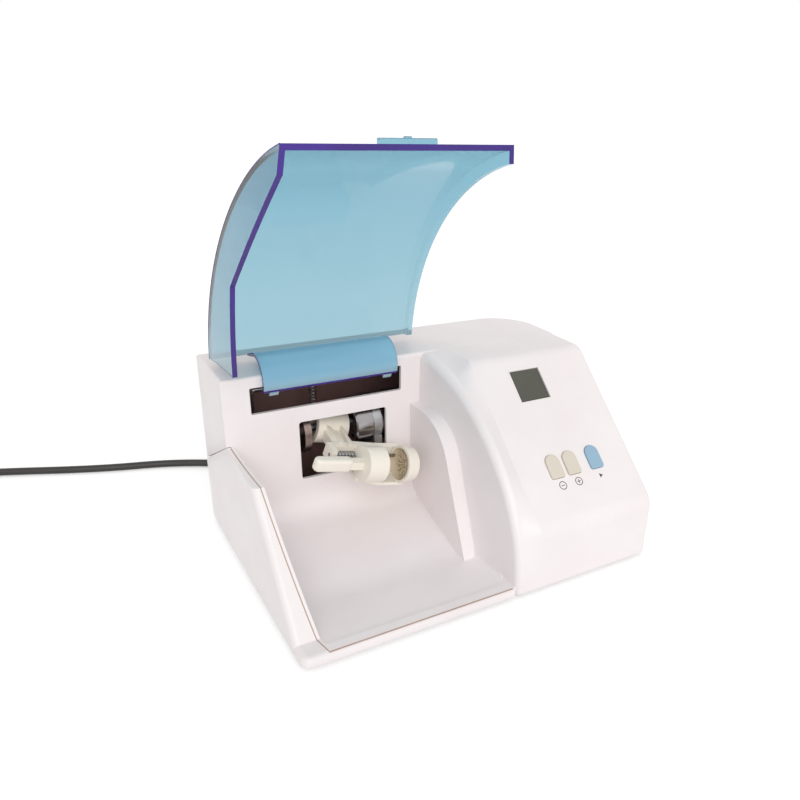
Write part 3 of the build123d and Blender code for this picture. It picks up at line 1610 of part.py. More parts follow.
with BuildPart() as clamp_jaw:
    with BuildSketch(across(jaw_left, holder_reach)) as jaw_face:
        Circle(jaw_diameter / 2)
        with Locations((rod_reach - holder_reach, 0)):
            Rectangle(jaw_lug_height, jaw_lug_height)
        # clear of the spine and the web
        with Locations((spine_reach + spine_width + seam_gap - holder_reach, 0)):
            Rectangle(jaw_diameter, 2 * jaw_diameter, align=(Align.MAX, Align.CENTER), mode=Mode.SUBTRACT)
    extrude(amount=jaw_right - jaw_left)
    with BuildSketch(holder_plane.offset(web_drop - web_thickness - seam_gap)):
        with Locations((holder_reach / 2, holder_reach)):
            Rectangle(4 * holder_reach, 4 * holder_reach)
    extrude(amount=jaw_diameter, mode=Mode.SUBTRACT)
    add(thumb_tab.part)
    with BuildSketch(holder_plane.offset(-jaw_neck / 2)):
        with Locations(((tab_right - tab_thickness + jaw_left) / 2, holder_reach)):
            Rectangle(jaw_left - tab_right + 1.5 * tab_thickness, jaw_neck)
    extrude(amount=jaw_neck)
    with BuildSketch(across(jaw_right, holder_reach)):
        Circle(jaw_diameter / 2 - jaw_cup_wall - 1)
    extrude(amount=-jaw_cup_depth, mode=Mode.SUBTRACT)
    with BuildSketch(across(jaw_left, rod_reach)):
        Circle(rod_diameter / 2 + rod_clearance)
    extrude(amount=jaw_right - jaw_left, mode=Mode.SUBTRACT)
print("jaw", clamp_jaw.part.volume, len(clamp_jaw.solids()), clamp_jaw.part.is_valid)
clamp_jaw.part.label = "clamp_jaw"
export_step(clamp_jaw.part, "parts/clamp_jaw.step")


def spring_solid(plane, length, radius, wire, turns):
    """Helical spring standing on the plane."""
    pitch = (length - wire) / turns
    with BuildPart() as spring:
        with BuildLine():
            Helix(pitch=pitch, height=length - wire, radius=radius, center=(0, 0, wire / 2))
        with BuildSketch(Plane(origin=(radius, 0, wire / 2), z_dir=(0, 2 * pi * radius, pitch))):
            Circle(wire / 2)
        sweep()
    return spring.part.moved(plane.location)


jaw_spring_start = stop_left + stop_thickness + seam_gap
jaw_spring = spring_solid(
    across(jaw_spring_start, rod_reach),
    jaw_left - seam_gap - jaw_spring_start,
    (jaw_spring_diameter - jaw_spring_wire) / 2,
    jaw_spring_wire,
    jaw_spring_turns,
)
print("jaw spring", jaw_spring.volume, jaw_spring.is_valid)
jaw_spring.label = "jaw_spring"
export_step(jaw_spring, "parts/jaw_spring.step")

lug_top = hub_centre + along * (-lug_length / 2) - forward * (lug_reach - lug_thickness)
holder_spring_foot = lug_top.Z + lug_thickness / 2 + holder_spring_gap + 1.5
holder_spring = spring_solid(
    Plane(origin=(lug_top.X, lug_top.Y, holder_spring_foot)),
    up(spring_post_up) - spring_post_diameter / 2 - holder_spring_gap - holder_spring_foot,
    (holder_spring_diameter - holder_spring_wire) / 2,
    holder_spring_wire,
    holder_spring_turns,
)
print("holder spring", holder_spring.volume, holder_spring.is_valid)
holder_spring.label = "holder_spring"
export_step(holder_spring, "parts/holder_spring.step")

with BuildPart() as spring_post:
    with BuildSketch(side_plane(chassis_left + chassis_sheet)):
        with Locations((lug_top.Y, up(spring_post_up))):
            Circle(spring_post_diameter / 2)
    extrude(amount=spring_post_right - chassis_left - chassis_sheet)
    with BuildSketch(side_plane(chassis_left + chassis_sheet)):
        with Locations((lug_top.Y, up(spring_post_up))):
            Circle(spring_post_diameter)
    extrude(amount=chassis_sheet)
spring_post.part.label = "spring_post"
export_step(spring_post.part, "parts/spring_post.step")

# ------------------------------------------------------------- control panel
board_plane = under_panel.offset(-board_gap)
with BuildPart() as control_board:
    with BuildSketch(board_plane):
        with Locations(((board_left + board_right) / 2, (board_low + board_high) / 2)):
            Rectangle(board_right - board_left, board_high - board_low)
        with Locations(*board_spots):
            Circle(screw_diameter / 2 + screw_clearance / 2, mode=Mode.SUBTRACT)
    extrude(amount=-board_thickness)
control_board.part.label = "control_board"
export_step(control_board.part, "parts/control_board.step")

board_underside = board_plane.offset(-board_thickness)
board_back = Plane(origin=board_underside.origin, x_dir=board_underside.x_dir, z_dir=-board_underside.z_dir)
board_screws = screws(
    [(x, -y) for x, y in board_spots], board_back, screw_head_height, board_thickness + board_gap - 2
)
board_screws.label = "board_screws"
export_step(board_screws, "parts/board_screws.step")

with BuildPart() as lcd_module:
    with BuildSketch(board_plane):
        with Locations((lcd_from_left, lcd_from_fold)):
            Rectangle(lcd_width + 2 * lcd_margin, lcd_length + 2 * lcd_margin)
    extrude(amount=board_gap)
lcd_module.part.label = "lcd_module"
export_step(lcd_module.part, "parts/lcd_module.step")

with BuildPart() as lcd_window:
    with BuildSketch(under_panel):
        with Locations((lcd_from_left, lcd_from_fold)):
            Rectangle(lcd_width - 2 * lcd_lens_clearance, lcd_length - 2 * lcd_lens_clearance)
    extrude(amount=lcd_lens_thickness)
lcd_window.part.label = "lcd_window"
export_step(lcd_window.part, "parts/lcd_window.step")

button_back = button_rest_gap + button_flange
for centre, button_name in zip(button_centres, button_names):
    with BuildPart() as button:
        with BuildSketch(under_panel.offset(-button_rest_gap)):
            with Locations((centre, button_from_fold)):
                add(button_outline(button_flange_reach))
        extrude(amount=-button_flange)
        with BuildSketch(under_panel.offset(-button_rest_gap)):
            with Locations((centre, button_from_fold)):
                add(button_outline(0))
        extrude(amount=wall + button_rest_gap + button_proud)
        crown = button.faces().sort_by(lambda f: f.center().Z - f.center().Y)[-1]
        fillet(crown.edges(), radius=button_proud / 2)
    button.part.label = button_name
    export_step(button.part, "parts/" + button_name + ".step")

with BuildPart() as key_switches:
    key_top = board_gap - button_back - button_travel - key_free_play
    for centre in button_centres:
        with BuildSketch(board_plane):
            with Locations((centre, button_from_fold)):
                Rectangle(key_switch_size, key_switch_size)
        extrude(amount=key_switch_height)
        with BuildSketch(board_plane):
            with Locations((centre, button_from_fold)):
                Circle(key_plunger / 2)
        extrude(amount=key_top)
key_switches.part.label = "key_switches"
export_step(key_switches.part, "parts/key_switches.step")

# --------------------------------------------------------------- power supply
supply_plane = Plane.XY.offset(up(supply_up))
supply_top = Plane.XY.offset(up(supply_up + board_thickness))
with BuildPart() as supply_board:
    with BuildSketch(supply_plane):
        with Locations(
            (from_left((supply_left + supply_right) / 2), from_front((supply_front + supply_back) / 2))
        ):
            Rectangle(supply_right - supply_left, supply_back - supply_front)
        with Locations(*supply_spots):
            Circle(screw_diameter / 2 + screw_clearance / 2, mode=Mode.SUBTRACT)
    extrude(amount=board_thickness)
supply_board.part.label = "supply_board"
export_step(supply_board.part, "parts/supply_board.step")

supply_screws = screws(supply_spots, supply_top, screw_head_height, supply_up + board_thickness - base_plate - 1)
supply_screws.label = "supply_screws"
export_step(supply_screws, "parts/supply_screws.step")

core_plane = Plane.XZ.offset(-from_front(core_front))
core_middle = (from_left(core_left + core_width / 2), up(supply_up + board_thickness + core_height / 2))
core_window = (core_width - 2 * core_leg) / 4
with BuildPart() as transformer_core:
    with BuildSketch(core_plane):
        with Locations(core_middle):
            Rectangle(core_width, core_height)
            with Locations((-core_leg / 2 - core_window, 0), (core_leg / 2 + core_window, 0)):
                Rectangle(2 * core_window, core_height - core_leg, mode=Mode.SUBTRACT)
    extrude(amount=-core_depth)
transformer_core.part.label = "transformer_core"
export_step(transformer_core.part, "parts/transformer_core.step")

with BuildPart() as transformer_coil:
    with BuildSketch(core_plane.offset(coil_overhang)):
        with Locations(core_middle):
            Rectangle(core_leg + 4 * core_window - 2 * coil_play, core_height - core_leg - 2 * coil_play)
    extrude(amount=-core_depth - 2 * coil_overhang)
    fillet(transformer_coil.edges().filter_by(Axis.Z), radius=2)
    with BuildSketch(core_plane):
        with Locations(core_middle):
            Rectangle(core_leg, core_height)
    extrude(amount=-core_depth, mode=Mode.SUBTRACT)
transformer_coil.part.label = "transformer_coil"
export_step(transformer_coil.part, "parts/transformer_coil.step")

with BuildPart() as capacitors:
    with BuildSketch(supply_top):
        with Locations(*[(from_left(x), from_front(y)) for x, y in capacitor_spots]):
            Circle(capacitor_diameter / 2)
    extrude(amount=capacitor_height)
    fillet(capacitors.faces().sort_by(Axis.Z)[-2:].edges(), radius=1)
capacitors.part.label = "capacitors"
export_step(capacitors.part, "parts/capacitors.step")

with BuildPart() as heat_sink:
    with BuildSketch(supply_top):
        with Locations((from_left(sink_left + sink_length / 2), from_front(sink_front + sink_fin / 2))):
            Rectangle(sink_length, 2 * sink_fin)
        for index in range(sink_fins):
            fin_left = sink_left + index * (sink_length - sink_fin) / (sink_fins - 1)
            with Locations((from_left(fin_left + sink_fin / 2), from_front(sink_front + sink_depth / 2))):
                Rectangle(sink_fin, sink_depth)
    extrude(amount=sink_height)
heat_sink.part.label = "heat_sink"
export_step(heat_sink.part, "parts/heat_sink.step")

with BuildPart() as terminal_block:
    with BuildSketch(supply_top):
        with Locations((from_left(terminal_left + terminal_length / 2), from_front(terminal_front))):
            Rectangle(terminal_length, terminal_depth)
    extrude(amount=terminal_height)
    with BuildSketch(supply_top.offset(terminal_height)):
        for index in range(5):
            with Locations(
                (from_left(terminal_left + terminal_length * (index + 0.5) / 5), from_front(terminal_front))
            ):
                Circle(screw_diameter / 2)
    extrude(amount=-terminal_height / 3, mode=Mode.SUBTRACT)
terminal_block.part.label = "terminal_block"
export_step(terminal_block.part, "parts/terminal_block.step")

# --------------------------------------------------------- rear wall fittings
switch_spot = (-switch_from_left, rear_fitting_up)
pivot = (
    rear_plane.origin
    + rear_plane.x_dir * switch_spot[0]
    + rear_plane.y_dir * switch_spot[1]
    - rear_plane.z_dir * rocker_pivot
)


def rocker_plane(distance, tilt):
    """Plane across the rocker's pivot, turned about it; local x is up the wall."""
    upward = rear_plane.y_dir * cos(radians(tilt)) + rear_plane.z_dir * sin(radians(tilt))
    return Plane(origin=pivot + rear_plane.x_dir * distance, x_dir=upward, z_dir=rear_plane.x_dir)


with BuildPart() as power_switch:
    with BuildSketch(rear_plane):
        with Locations(switch_spot):
            Rectangle(switch_width, switch_height)
    extrude(amount=switch_proud)
    with BuildSketch(rear_plane):
        with Locations(switch_spot):
            Rectangle(switch_width - 2, switch_height - 2)
    extrude(amount=-switch_depth)
    with BuildSketch(rear_plane.offset(switch_proud)):
        with Locations(switch_spot):
            Rectangle(switch_cell_width, switch_cell_height)
    extrude(amount=-switch_cell_depth - switch_proud, mode=Mode.SUBTRACT)
    with BuildSketch(rocker_plane(-switch_width / 2 + 1, 0)):
        Circle(rocker_axle / 2 + running_clearance)
    extrude(amount=switch_width - 2, mode=Mode.SUBTRACT)
power_switch.part.label = "power_switch"
export_step(power_switch.part, "parts/power_switch.step")

with BuildPart() as power_rocker:
    with BuildSketch(rocker_plane(-rocker_width / 2, -rocker_swing / 2)):
        with BuildLine():
            # a shallow V on top and a narrower foot; local y is out of the wall
            Polyline(
                (-rocker_half_height, rocker_lip),
                (0, rocker_valley),
                (rocker_half_height, rocker_lip),
                (rocker_foot, -rocker_foot),
                (-rocker_foot, -rocker_foot),
                close=True,
            )
        make_face()
    extrude(amount=rocker_width)
    with BuildSketch(rocker_plane(-rocker_width / 2 - rocker_axle_reach, 0)):
        Circle(rocker_axle / 2)
    extrude(amount=rocker_width + 2 * rocker_axle_reach)
power_rocker.part.label = "power_rocker"
export_step(power_rocker.part, "parts/power_rocker.step")

with BuildPart() as fuse_holder:
    with BuildSketch(rear_plane):
        with Locations((-fuse_from_left, rear_fitting_up)):
            Circle(fuse_flange / 2)
    extrude(amount=switch_proud / 2)
    with BuildSketch(rear_plane):
        with Locations((-fuse_from_left, rear_fitting_up)):
            Circle(fuse_diameter / 2)
    extrude(amount=-fuse_depth)
    with BuildSketch(rear_plane.offset(switch_proud / 2)):
        with Locations((-fuse_from_left, rear_fitting_up)):
            Circle(fuse_cap_diameter / 2)
    extrude(amount=-fuse_depth / 2, mode=Mode.SUBTRACT)
fuse_holder.part.label = "fuse_holder"
export_step(fuse_holder.part, "parts/fuse_holder.step")

with BuildPart() as fuse_cap:
    with BuildSketch(rear_plane.offset(switch_proud)):
        with Locations((-fuse_from_left, rear_fitting_up)):
            Circle(fuse_cap_diameter / 2)
    extrude(amount=-fuse_depth / 2 - switch_proud / 2)
    with BuildSketch(rear_plane.offset(switch_proud)):
        with Locations((-fuse_from_left, rear_fitting_up)):
            Rectangle(fuse_cap_diameter, 1.4)
    extrude(amount=-1, mode=Mode.SUBTRACT)
fuse_cap.part.label = "fuse_cap"
export_step(fuse_cap.part, "parts/fuse_cap.step")

# ----------------------------------------------------------------------- cord
gland_spot = (-gland_from_left, gland_up)
gland_centre = rear_plane.origin + rear_plane.x_dir * gland_spot[0] + rear_plane.y_dir * gland_spot[1]
gland_plane = Plane(origin=gland_centre, x_dir=rear_plane.x_dir, z_dir=rear_plane.z_dir)
with BuildPart() as cord_gland:
    with BuildSketch(gland_plane):
        Circle(gland_flange / 2)
    extrude(amount=gland_flange_thickness)
    with BuildSketch(gland_plane):
        Circle(gland_body / 2)
    extrude(amount=-wall - gland_nut)
    with BuildSketch(gland_plane.offset(-wall - 0.2)):
        Circle(gland_flange / 2)
    extrude(amount=-gland_nut)
    with BuildSketch(gland_plane.offset(gland_flange_thickness)):
        Circle(gland_body / 2)
    with BuildSketch(gland_plane.offset(gland_length)):
        Circle(gland_tip / 2)
    loft()
    with BuildSketch(gland_plane.offset(-wall - gland_nut - 1)):
        Circle(cord_diameter / 2 + cord_clearance)
    extrude(amount=gland_length + wall + gland_nut + 2, mode=Mode.SUBTRACT)
    with BuildSketch(gland_plane.offset(gland_flare_start)):
        Circle(cord_diameter / 2 + cord_clearance)
    with BuildSketch(gland_plane.offset(gland_length)):
        Circle(cord_diameter / 2 + cord_clearance + gland_flare)
    loft(mode=Mode.SUBTRACT)
cord_gland.part.label = "cord_gland"
export_step(cord_gland.part, "parts/cord_gland.step")

cord_up = cord_diameter / 2 + cord_floor_gap
cord_route = [
    gland_centre - gland_plane.z_dir * cord_inside,
    gland_centre + gland_plane.z_dir * cord_lead,
] + [Vector(from_left(x), from_front(body_depth + y), cord_up) for x, y in cord_points]


def route_radius(index):
    """Bend radius at a point of the route: the arc takes 0.45 of the shorter run."""
    before = cord_route[index] - cord_route[index - 1]
    after = cord_route[index + 1] - cord_route[index]
    half_turn = radians(before.get_angle(after)) / 2
    return 0.45 * min(before.length, after.length) / tan(half_turn)


cord_radii = [route_radius(index) for index in range(1, len(cord_route) - 1)]
print("cord bend radii", [round(radius, 1) for radius in cord_radii])
with BuildPart() as power_cord:
    with BuildLine() as cord_line:
        FilletPolyline(*cord_route, radius=cord_radii)
    with BuildSketch(Plane(origin=cord_route[0], z_dir=gland_plane.z_dir)):
        Circle(cord_diameter / 2)
    sweep()
cord_section = pi * cord_diameter**2 / 4
cord_length = cord_line.wires()[0].length
print("cord", cord_length, power_cord.part.volume / (cord_section * cord_length))
power_cord.part.label = "power_cord"
export_step(power_cord.part, "parts/power_cord.step")

# coil of the rest of the cord: in along the floor, up a layer, and out again
last_run = (cord_route[-1] - cord_route[-2]).normalized()
leftward = Vector(-last_run.Y, last_run.X, 0)
coil_centre = cord_route[-1] + leftward * coil_radius
coil_inner = coil_radius - (coil_turns_in + 0.25) * coil_pitch
coil_total = coil_turns_in + 0.5 + coil_turns_out


def coil_point(turns):
    """Centre line of the coil after a number of turns."""
    climb = min(max((turns - coil_turns_in) / 0.5, 0), 1)
    radius = coil_inner + abs(turns - coil_turns_in - 0.25) * coil_pitch
    height = coil_pitch * climb * climb * (3 - 2 * climb)
    angle = 2 * pi * turns
    arm = leftward * (-cos(angle)) + last_run * sin(angle)
    return coil_centre + arm * radius + Vector(0, 0, height)


def coil_heading(turns):
    step = 0.001
    if turns < step:
        return last_run
    if turns > coil_total - step:
        return last_run
    return (coil_point(turns + step) - coil_point(turns - step)).normalized()


def biarc(start, start_heading, end, end_heading):
    """Two arcs that join two points with their headings."""
    chord = end - start
    total = start_heading + end_heading
    a = 2 * (1 - start_heading.dot(end_heading))
    b = 2 * chord.dot(total)
    c = -chord.dot(chord)
    reach = -c / b if abs(a) < 1e-9 else (-b + sqrt(b * b - 4 * a * c)) / (2 * a)
    first_knee = start + start_heading * reach
    second_knee = end - end_heading * reach
    joint = (first_knee + second_knee) * 0.5
    for p, knee, q in ((start, first_knee, joint), (joint, second_knee, end)):
        middle = (p + q) * 0.5
        rise = knee - middle
        half = (q - p).length / 2
        sagitta = half * tan(atan(rise.length / half) / 2)
        ThreePointArc(p, middle + rise.normalized() * sagitta, q)


coil_steps = int(coil_total * 4)
tail_start = coil_point(coil_total)
plug_up = plug_thickness / 2
tail_end = tail_start + last_run * coil_tail
tail_end = Vector(tail_end.X, tail_end.Y, plug_up)
with BuildPart() as power_cord_coil:
    with BuildLine() as coil_line:
        for index in range(coil_steps):
            here = index / 4
            there = (index + 1) / 4
            biarc(coil_point(here), coil_heading(here), coil_point(there), coil_heading(there))
        biarc(tail_start, last_run, tail_end, last_run)
        Line(tail_end, tail_end + last_run * cord_diameter)
    with BuildSketch(Plane(origin=cord_route[-1], z_dir=last_run)):
        Circle(cord_diameter / 2)
    sweep()
coil_length = coil_line.wires()[0].length
print("coil", coil_length, power_cord_coil.part.volume / (cord_section * coil_length))
samples = [coil_point(index / 60) for index in range(int(coil_total * 60) + 1)]
nearest = min(
    (samples[i] - samples[j]).length
    for i in range(len(samples))
    for j in range(i + 30, len(samples))
)
print("least gap of the coil to itself", nearest - cord_diameter)
power_cord_coil.part.label = "power_cord_coil"
export_step(power_cord_coil.part, "parts/power_cord_coil.step")

plug_start = tail_end + last_run * cord_diameter
plug_plane = Plane(origin=plug_start, x_dir=(-last_run.Y, last_run.X, 0), z_dir=last_run)
with BuildPart() as power_plug:
    with BuildSketch(plug_plane):
        RectangleRounded(plug_neck, plug_neck, 2)
    with BuildSketch(plug_plane.offset(plug_length / 2)):
        RectangleRounded(plug_width, plug_thickness, 4)
    loft()
    with BuildSketch(plug_plane.offset(plug_length / 2)):
        RectangleRounded(plug_width, plug_thickness, 4)
    with BuildSketch(plug_plane.offset(plug_length)):
        RectangleRounded(plug_front, plug_thickness, 4)
    loft()
    with BuildSketch(plug_plane.offset(plug_length)):
        with Locations((-plug_pin_spacing / 2, 0), (plug_pin_spacing / 2, 0)):
            Circle(plug_pin / 2)
    extrude(amount=plug_pin_length)
print("plug", power_plug.part.volume, len(power_plug.solids()), power_plug.part.is_valid)
power_plug.part.label = "power_plug"
export_step(power_plug.part, "parts/power_plug.step")
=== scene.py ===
import json
from math import atan, atan2, cos, hypot, pi, radians, sin, sqrt

import bmesh
import bpy
from mathutils import Matrix, Vector


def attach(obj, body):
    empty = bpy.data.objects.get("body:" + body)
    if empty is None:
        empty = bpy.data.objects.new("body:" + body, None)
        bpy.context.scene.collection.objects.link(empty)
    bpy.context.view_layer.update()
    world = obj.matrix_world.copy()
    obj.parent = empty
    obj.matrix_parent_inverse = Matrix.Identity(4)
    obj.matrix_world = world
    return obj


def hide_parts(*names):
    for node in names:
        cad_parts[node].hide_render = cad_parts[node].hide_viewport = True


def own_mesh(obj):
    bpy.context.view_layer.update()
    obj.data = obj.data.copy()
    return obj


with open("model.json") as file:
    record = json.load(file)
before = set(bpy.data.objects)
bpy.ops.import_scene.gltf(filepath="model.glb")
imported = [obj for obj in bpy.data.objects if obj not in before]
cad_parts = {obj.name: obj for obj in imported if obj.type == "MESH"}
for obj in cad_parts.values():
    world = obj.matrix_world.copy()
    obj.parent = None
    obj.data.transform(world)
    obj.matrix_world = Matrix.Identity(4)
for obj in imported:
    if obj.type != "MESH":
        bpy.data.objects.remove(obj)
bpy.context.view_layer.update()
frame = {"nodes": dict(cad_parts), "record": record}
nodes = frame["nodes"]
scene = bpy.context.scene

# ------------------------------------------------------------------- geometry
# Distances are taken from the casing's left side, from its front and up from
# its underside, as in the construction. They are in metres, but for the parts
# that say millimetres.
BODY_WIDTH = 0.260
BODY_DEPTH = 0.195
BODY_HEIGHT = 0.130
FOOT = 0.003
BACK_LEAN = 6.5 / 130
PANEL_FOOT = 0.0436
PANEL_DEPTH = 0.0947
PANEL_ANGLE = atan((BODY_HEIGHT - PANEL_FOOT) / PANEL_DEPTH)


def place(left, front, up):
    return Vector((left - BODY_WIDTH / 2, front - BODY_DEPTH / 2, up + FOOT))


# axes of the capsule holder, from the ball that carries it
HOLDER_YAW, HOLDER_PITCH, HOLDER_DROOP = radians(4.4), radians(14.5), radians(13.0)
hub = place(0.076, 0.150, 0.078)
along = Vector(
    (cos(HOLDER_PITCH) * cos(HOLDER_YAW), cos(HOLDER_PITCH) * sin(HOLDER_YAW), -sin(HOLDER_PITCH))
)
below = Vector(
    (-sin(HOLDER_PITCH) * cos(HOLDER_YAW), -sin(HOLDER_PITCH) * sin(HOLDER_YAW), -cos(HOLDER_PITCH))
)
ahead = Vector((sin(HOLDER_YAW), -cos(HOLDER_YAW), 0))
forward = ahead * cos(HOLDER_DROOP) + below * sin(HOLDER_DROOP)

# --------------------------------------------------------------------- camera
PICTURE = 800  # width and height in pixels
FOCAL_LENGTH = 739.77  # pixels
VIEW_CENTRE = (467.45, 448.80)  # pixels from the left and from the top
SENSOR = 36
EYE = (-0.22853, -0.41505, 0.29722)
VIEW_YAW, VIEW_PITCH, VIEW_ROLL = 0.56497, 0.44140, 0.04206


def add_camera():
    heading = Vector(
        (sin(VIEW_YAW) * cos(VIEW_PITCH), cos(VIEW_YAW) * cos(VIEW_PITCH), -sin(VIEW_PITCH))
    )
    side = Vector((cos(VIEW_YAW), -sin(VIEW_YAW), 0))
    top = side.cross(heading)
    right = side * cos(VIEW_ROLL) + top * sin(VIEW_ROLL)
    over = top * cos(VIEW_ROLL) - side * sin(VIEW_ROLL)
    data = bpy.data.cameras.new("camera")
    data.sensor_width = SENSOR
    data.lens = FOCAL_LENGTH / PICTURE * SENSOR
    data.shift_x = (PICTURE / 2 - VIEW_CENTRE[0]) / PICTURE
    data.shift_y = (VIEW_CENTRE[1] - PICTURE / 2) / PICTURE
    data.clip_end = 20
    camera = bpy.data.objects.new("camera", data)
    scene.collection.objects.link(camera)
    turn = Matrix((right, over, -heading)).transposed().to_4x4()
    camera.matrix_world = Matrix.Translation(EYE) @ turn
    scene.camera = camera


add_camera()


# ------------------------------------------------------------------ materials
def new_material(name):
    material = bpy.data.materials.new(name)
    material.use_nodes = True
    tree = material.node_tree
    return material, tree, tree.nodes["Principled BSDF"]


def linear(rgb):
    """Linear colour of 0-255 screen values."""
    values = [v / 255 for v in rgb]
    return [v / 12.92 if v <= 0.04045 else ((v + 0.055) / 1.055) ** 2.4 for v in values] + [1]


def grey(value):
    return (value, value, value, 1)


def noise(tree, scale, detail=3.0):
    coords = tree.nodes.new("ShaderNodeTexCoord")
    texture = tree.nodes.new("ShaderNodeTexNoise")
    texture.inputs["Scale"].default_value = scale
    texture.inputs["Detail"].default_value = detail
    tree.links.new(coords.outputs["Object"], texture.inputs["Vector"])
    return texture.outputs["Fac"]


def ramp(tree, source, low, high, start, end):
    node = tree.nodes.new("ShaderNodeValToRGB")
    node.color_ramp.elements[0].position = start
    node.color_ramp.elements[1].position = end
    node.color_ramp.elements[0].color = low
    node.color_ramp.elements[1].color = high
    tree.links.new(source, node.inputs["Fac"])
    return node.outputs["Color"]


def bump(tree, shader, source, strength, distance):
    node = tree.nodes.new("ShaderNodeBump")
    node.inputs["Strength"].default_value = strength
    node.inputs["Distance"].default_value = distance
    tree.links.new(source, node.inputs["Height"])
    tree.links.new(node.outputs["Normal"], shader.inputs["Normal"])


def moulded(name, low, high, roughness=0.35, grain=2600, depth=0.00004, metallic=0.0):
    """Moulded or cast surface: faint mottling, a fine grain and uneven gloss."""
    material, tree, shader = new_material(name)
    colour = ramp(tree, noise(tree, 14), linear(low), linear(high), 0.3, 0.7)
    tree.links.new(colour, shader.inputs["Base Color"])
    gloss = ramp(tree, noise(tree, 60), grey(roughness - 0.05), grey(roughness + 0.06), 0.35, 0.65)
    tree.links.new(gloss, shader.inputs["Roughness"])
    shader.inputs["Metallic"].default_value = metallic
    bump(tree, shader, noise(tree, grain, 2), 0.25, depth)
    return material


def brushed(name, colour, roughness, axis=0):
    """Metal with fine drawn lines along one axis."""
    material, tree, shader = new_material(name)
    coords = tree.nodes.new("ShaderNodeTexCoord")
    stretch = tree.nodes.new("ShaderNodeMapping")
    scale = [1800, 1800, 1800]
    scale[axis] = 30
    stretch.inputs["Scale"].default_value = scale
    lines = tree.nodes.new("ShaderNodeTexNoise")
    lines.inputs["Scale"].default_value = 1.0
    lines.inputs["Detail"].default_value = 2.0
    tree.links.new(coords.outputs["Object"], stretch.inputs["Vector"])
    tree.links.new(stretch.outputs["Vector"], lines.inputs["Vector"])
    drawn = lines.outputs["Fac"]
    worn = ramp(tree, drawn, grey(roughness - 0.08), grey(roughness + 0.12), 0.3, 0.7)
    tree.links.new(worn, shader.inputs["Roughness"])
    dark = [v * 0.85 for v in colour]
    tint = ramp(tree, noise(tree, 40), linear(dark), linear(colour), 0.3, 0.7)
    tree.links.new(tint, shader.inputs["Base Color"])
    shader.inputs["Metallic"].default_value = 1.0
    bump(tree, shader, drawn, 0.12, 0.00002)
    return material


def tinted(name, low, high, span, clear=1.0, roughness=0.06):
    """Coloured plastic that lets light through, deeper in colour higher up; on the tongue the
    lighter lower part is a painted highlight.
    """
    material, tree, shader = new_material(name)
    coords = tree.nodes.new("ShaderNodeTexCoord")
    split = tree.nodes.new("ShaderNodeSeparateXYZ")
    level = tree.nodes.new("ShaderNodeMapRange")
    level.inputs["From Min"].default_value = span[0]
    level.inputs["From Max"].default_value = span[1]
    tree.links.new(coords.outputs["Object"], split.inputs["Vector"])
    tree.links.new(split.outputs["Z"], level.inputs["Value"])
    cloud = tree.nodes.new("ShaderNodeMath")
    cloud.operation = "MULTIPLY_ADD"
    cloud.inputs[1].default_value = 0.25
    tree.links.new(noise(tree, 11), cloud.inputs[0])
    tree.links.new(level.outputs["Result"], cloud.inputs[2])
    colour = ramp(tree, cloud.outputs[0], linear(low), linear(high), 0.1, 1.0)
    tree.links.new(colour, shader.inputs["Base Color"])
    shader.inputs["Transmission Weight"].default_value = clear
    shader.inputs["IOR"].default_value = 1.3
    gloss = ramp(tree, noise(tree, 80), grey(roughness), grey(roughness + 0.04), 0.3, 0.7)
    tree.links.new(gloss, shader.inputs["Roughness"])
    return material


casing = moulded("casing_white", (238, 230, 229), (244, 237, 237), 0.34)
cream = moulded("cream", (242, 234, 220), (248, 241, 229), 0.38)
cord_skin = moulded("cord_skin", (38, 35, 34), (50, 46, 44), 0.42, 1400)
black = moulded("black_plastic", (26, 26, 27), (36, 36, 37), 0.45)
rubber = moulded("rubber", (24, 24, 24), (34, 34, 33), 0.75, 1200, 0.00008)
beige_key = moulded("beige_key", (214, 205, 189), (221, 212, 198), 0.5)
blue_key = moulded("blue_key", (143, 176, 199), (152, 184, 205), 0.5)
laminate = moulded("green_laminate", (22, 78, 44), (30, 92, 54), 0.4, 900)
copper = moulded("copper_winding", (150, 84, 44), (184, 108, 62), 0.4, 1500, 0.0002, 0.8)
ferrite = moulded("dark_core", (52, 52, 54), (68, 68, 70), 0.6, 900, 0.0001)
steel = brushed("steel", (186, 186, 188), 0.32)
polished = brushed("polished_steel", (214, 214, 216), 0.16)
alloy = brushed("cast_alloy", (196, 196, 198), 0.4)
dark_plate = brushed("dark_plate", (150, 132, 126), 0.34, 2)
mirror = brushed("bright_steel", (176, 172, 174), 0.12)
# Painted shade: a dark brown that stands for the dim inside of the casing behind the window wall.
inside = moulded("inside_painted_shade", (146, 112, 108), (160, 126, 120), 0.5)
lid_clear = tinted("lid_clear", (166, 201, 213), (138, 186, 204), (0.13, 0.27))
# The tongue's lighter lower half is a painted highlight.
lid_roll = tinted("lid_roll", (218, 242, 252), (162, 214, 238), (0.112, 0.134), 0.45, 0.1)
lid_edge = moulded("lid_edge", (48, 22, 108), (66, 38, 142), 0.16)
dish_inside = moulded("dish_inside", (216, 199, 172), (226, 210, 184), 0.5)
lens = moulded("display_glass", (76, 76, 66), (86, 86, 75), 0.12)
# Painted shade: a warm grey-brown for the dark line of shade in the seam round the tray's rim.
seam = moulded("seam_painted_shade", (176, 148, 132), (192, 166, 150), 0.6)
ink = moulded("ink", (64, 62, 62), (78, 76, 76), 0.6)

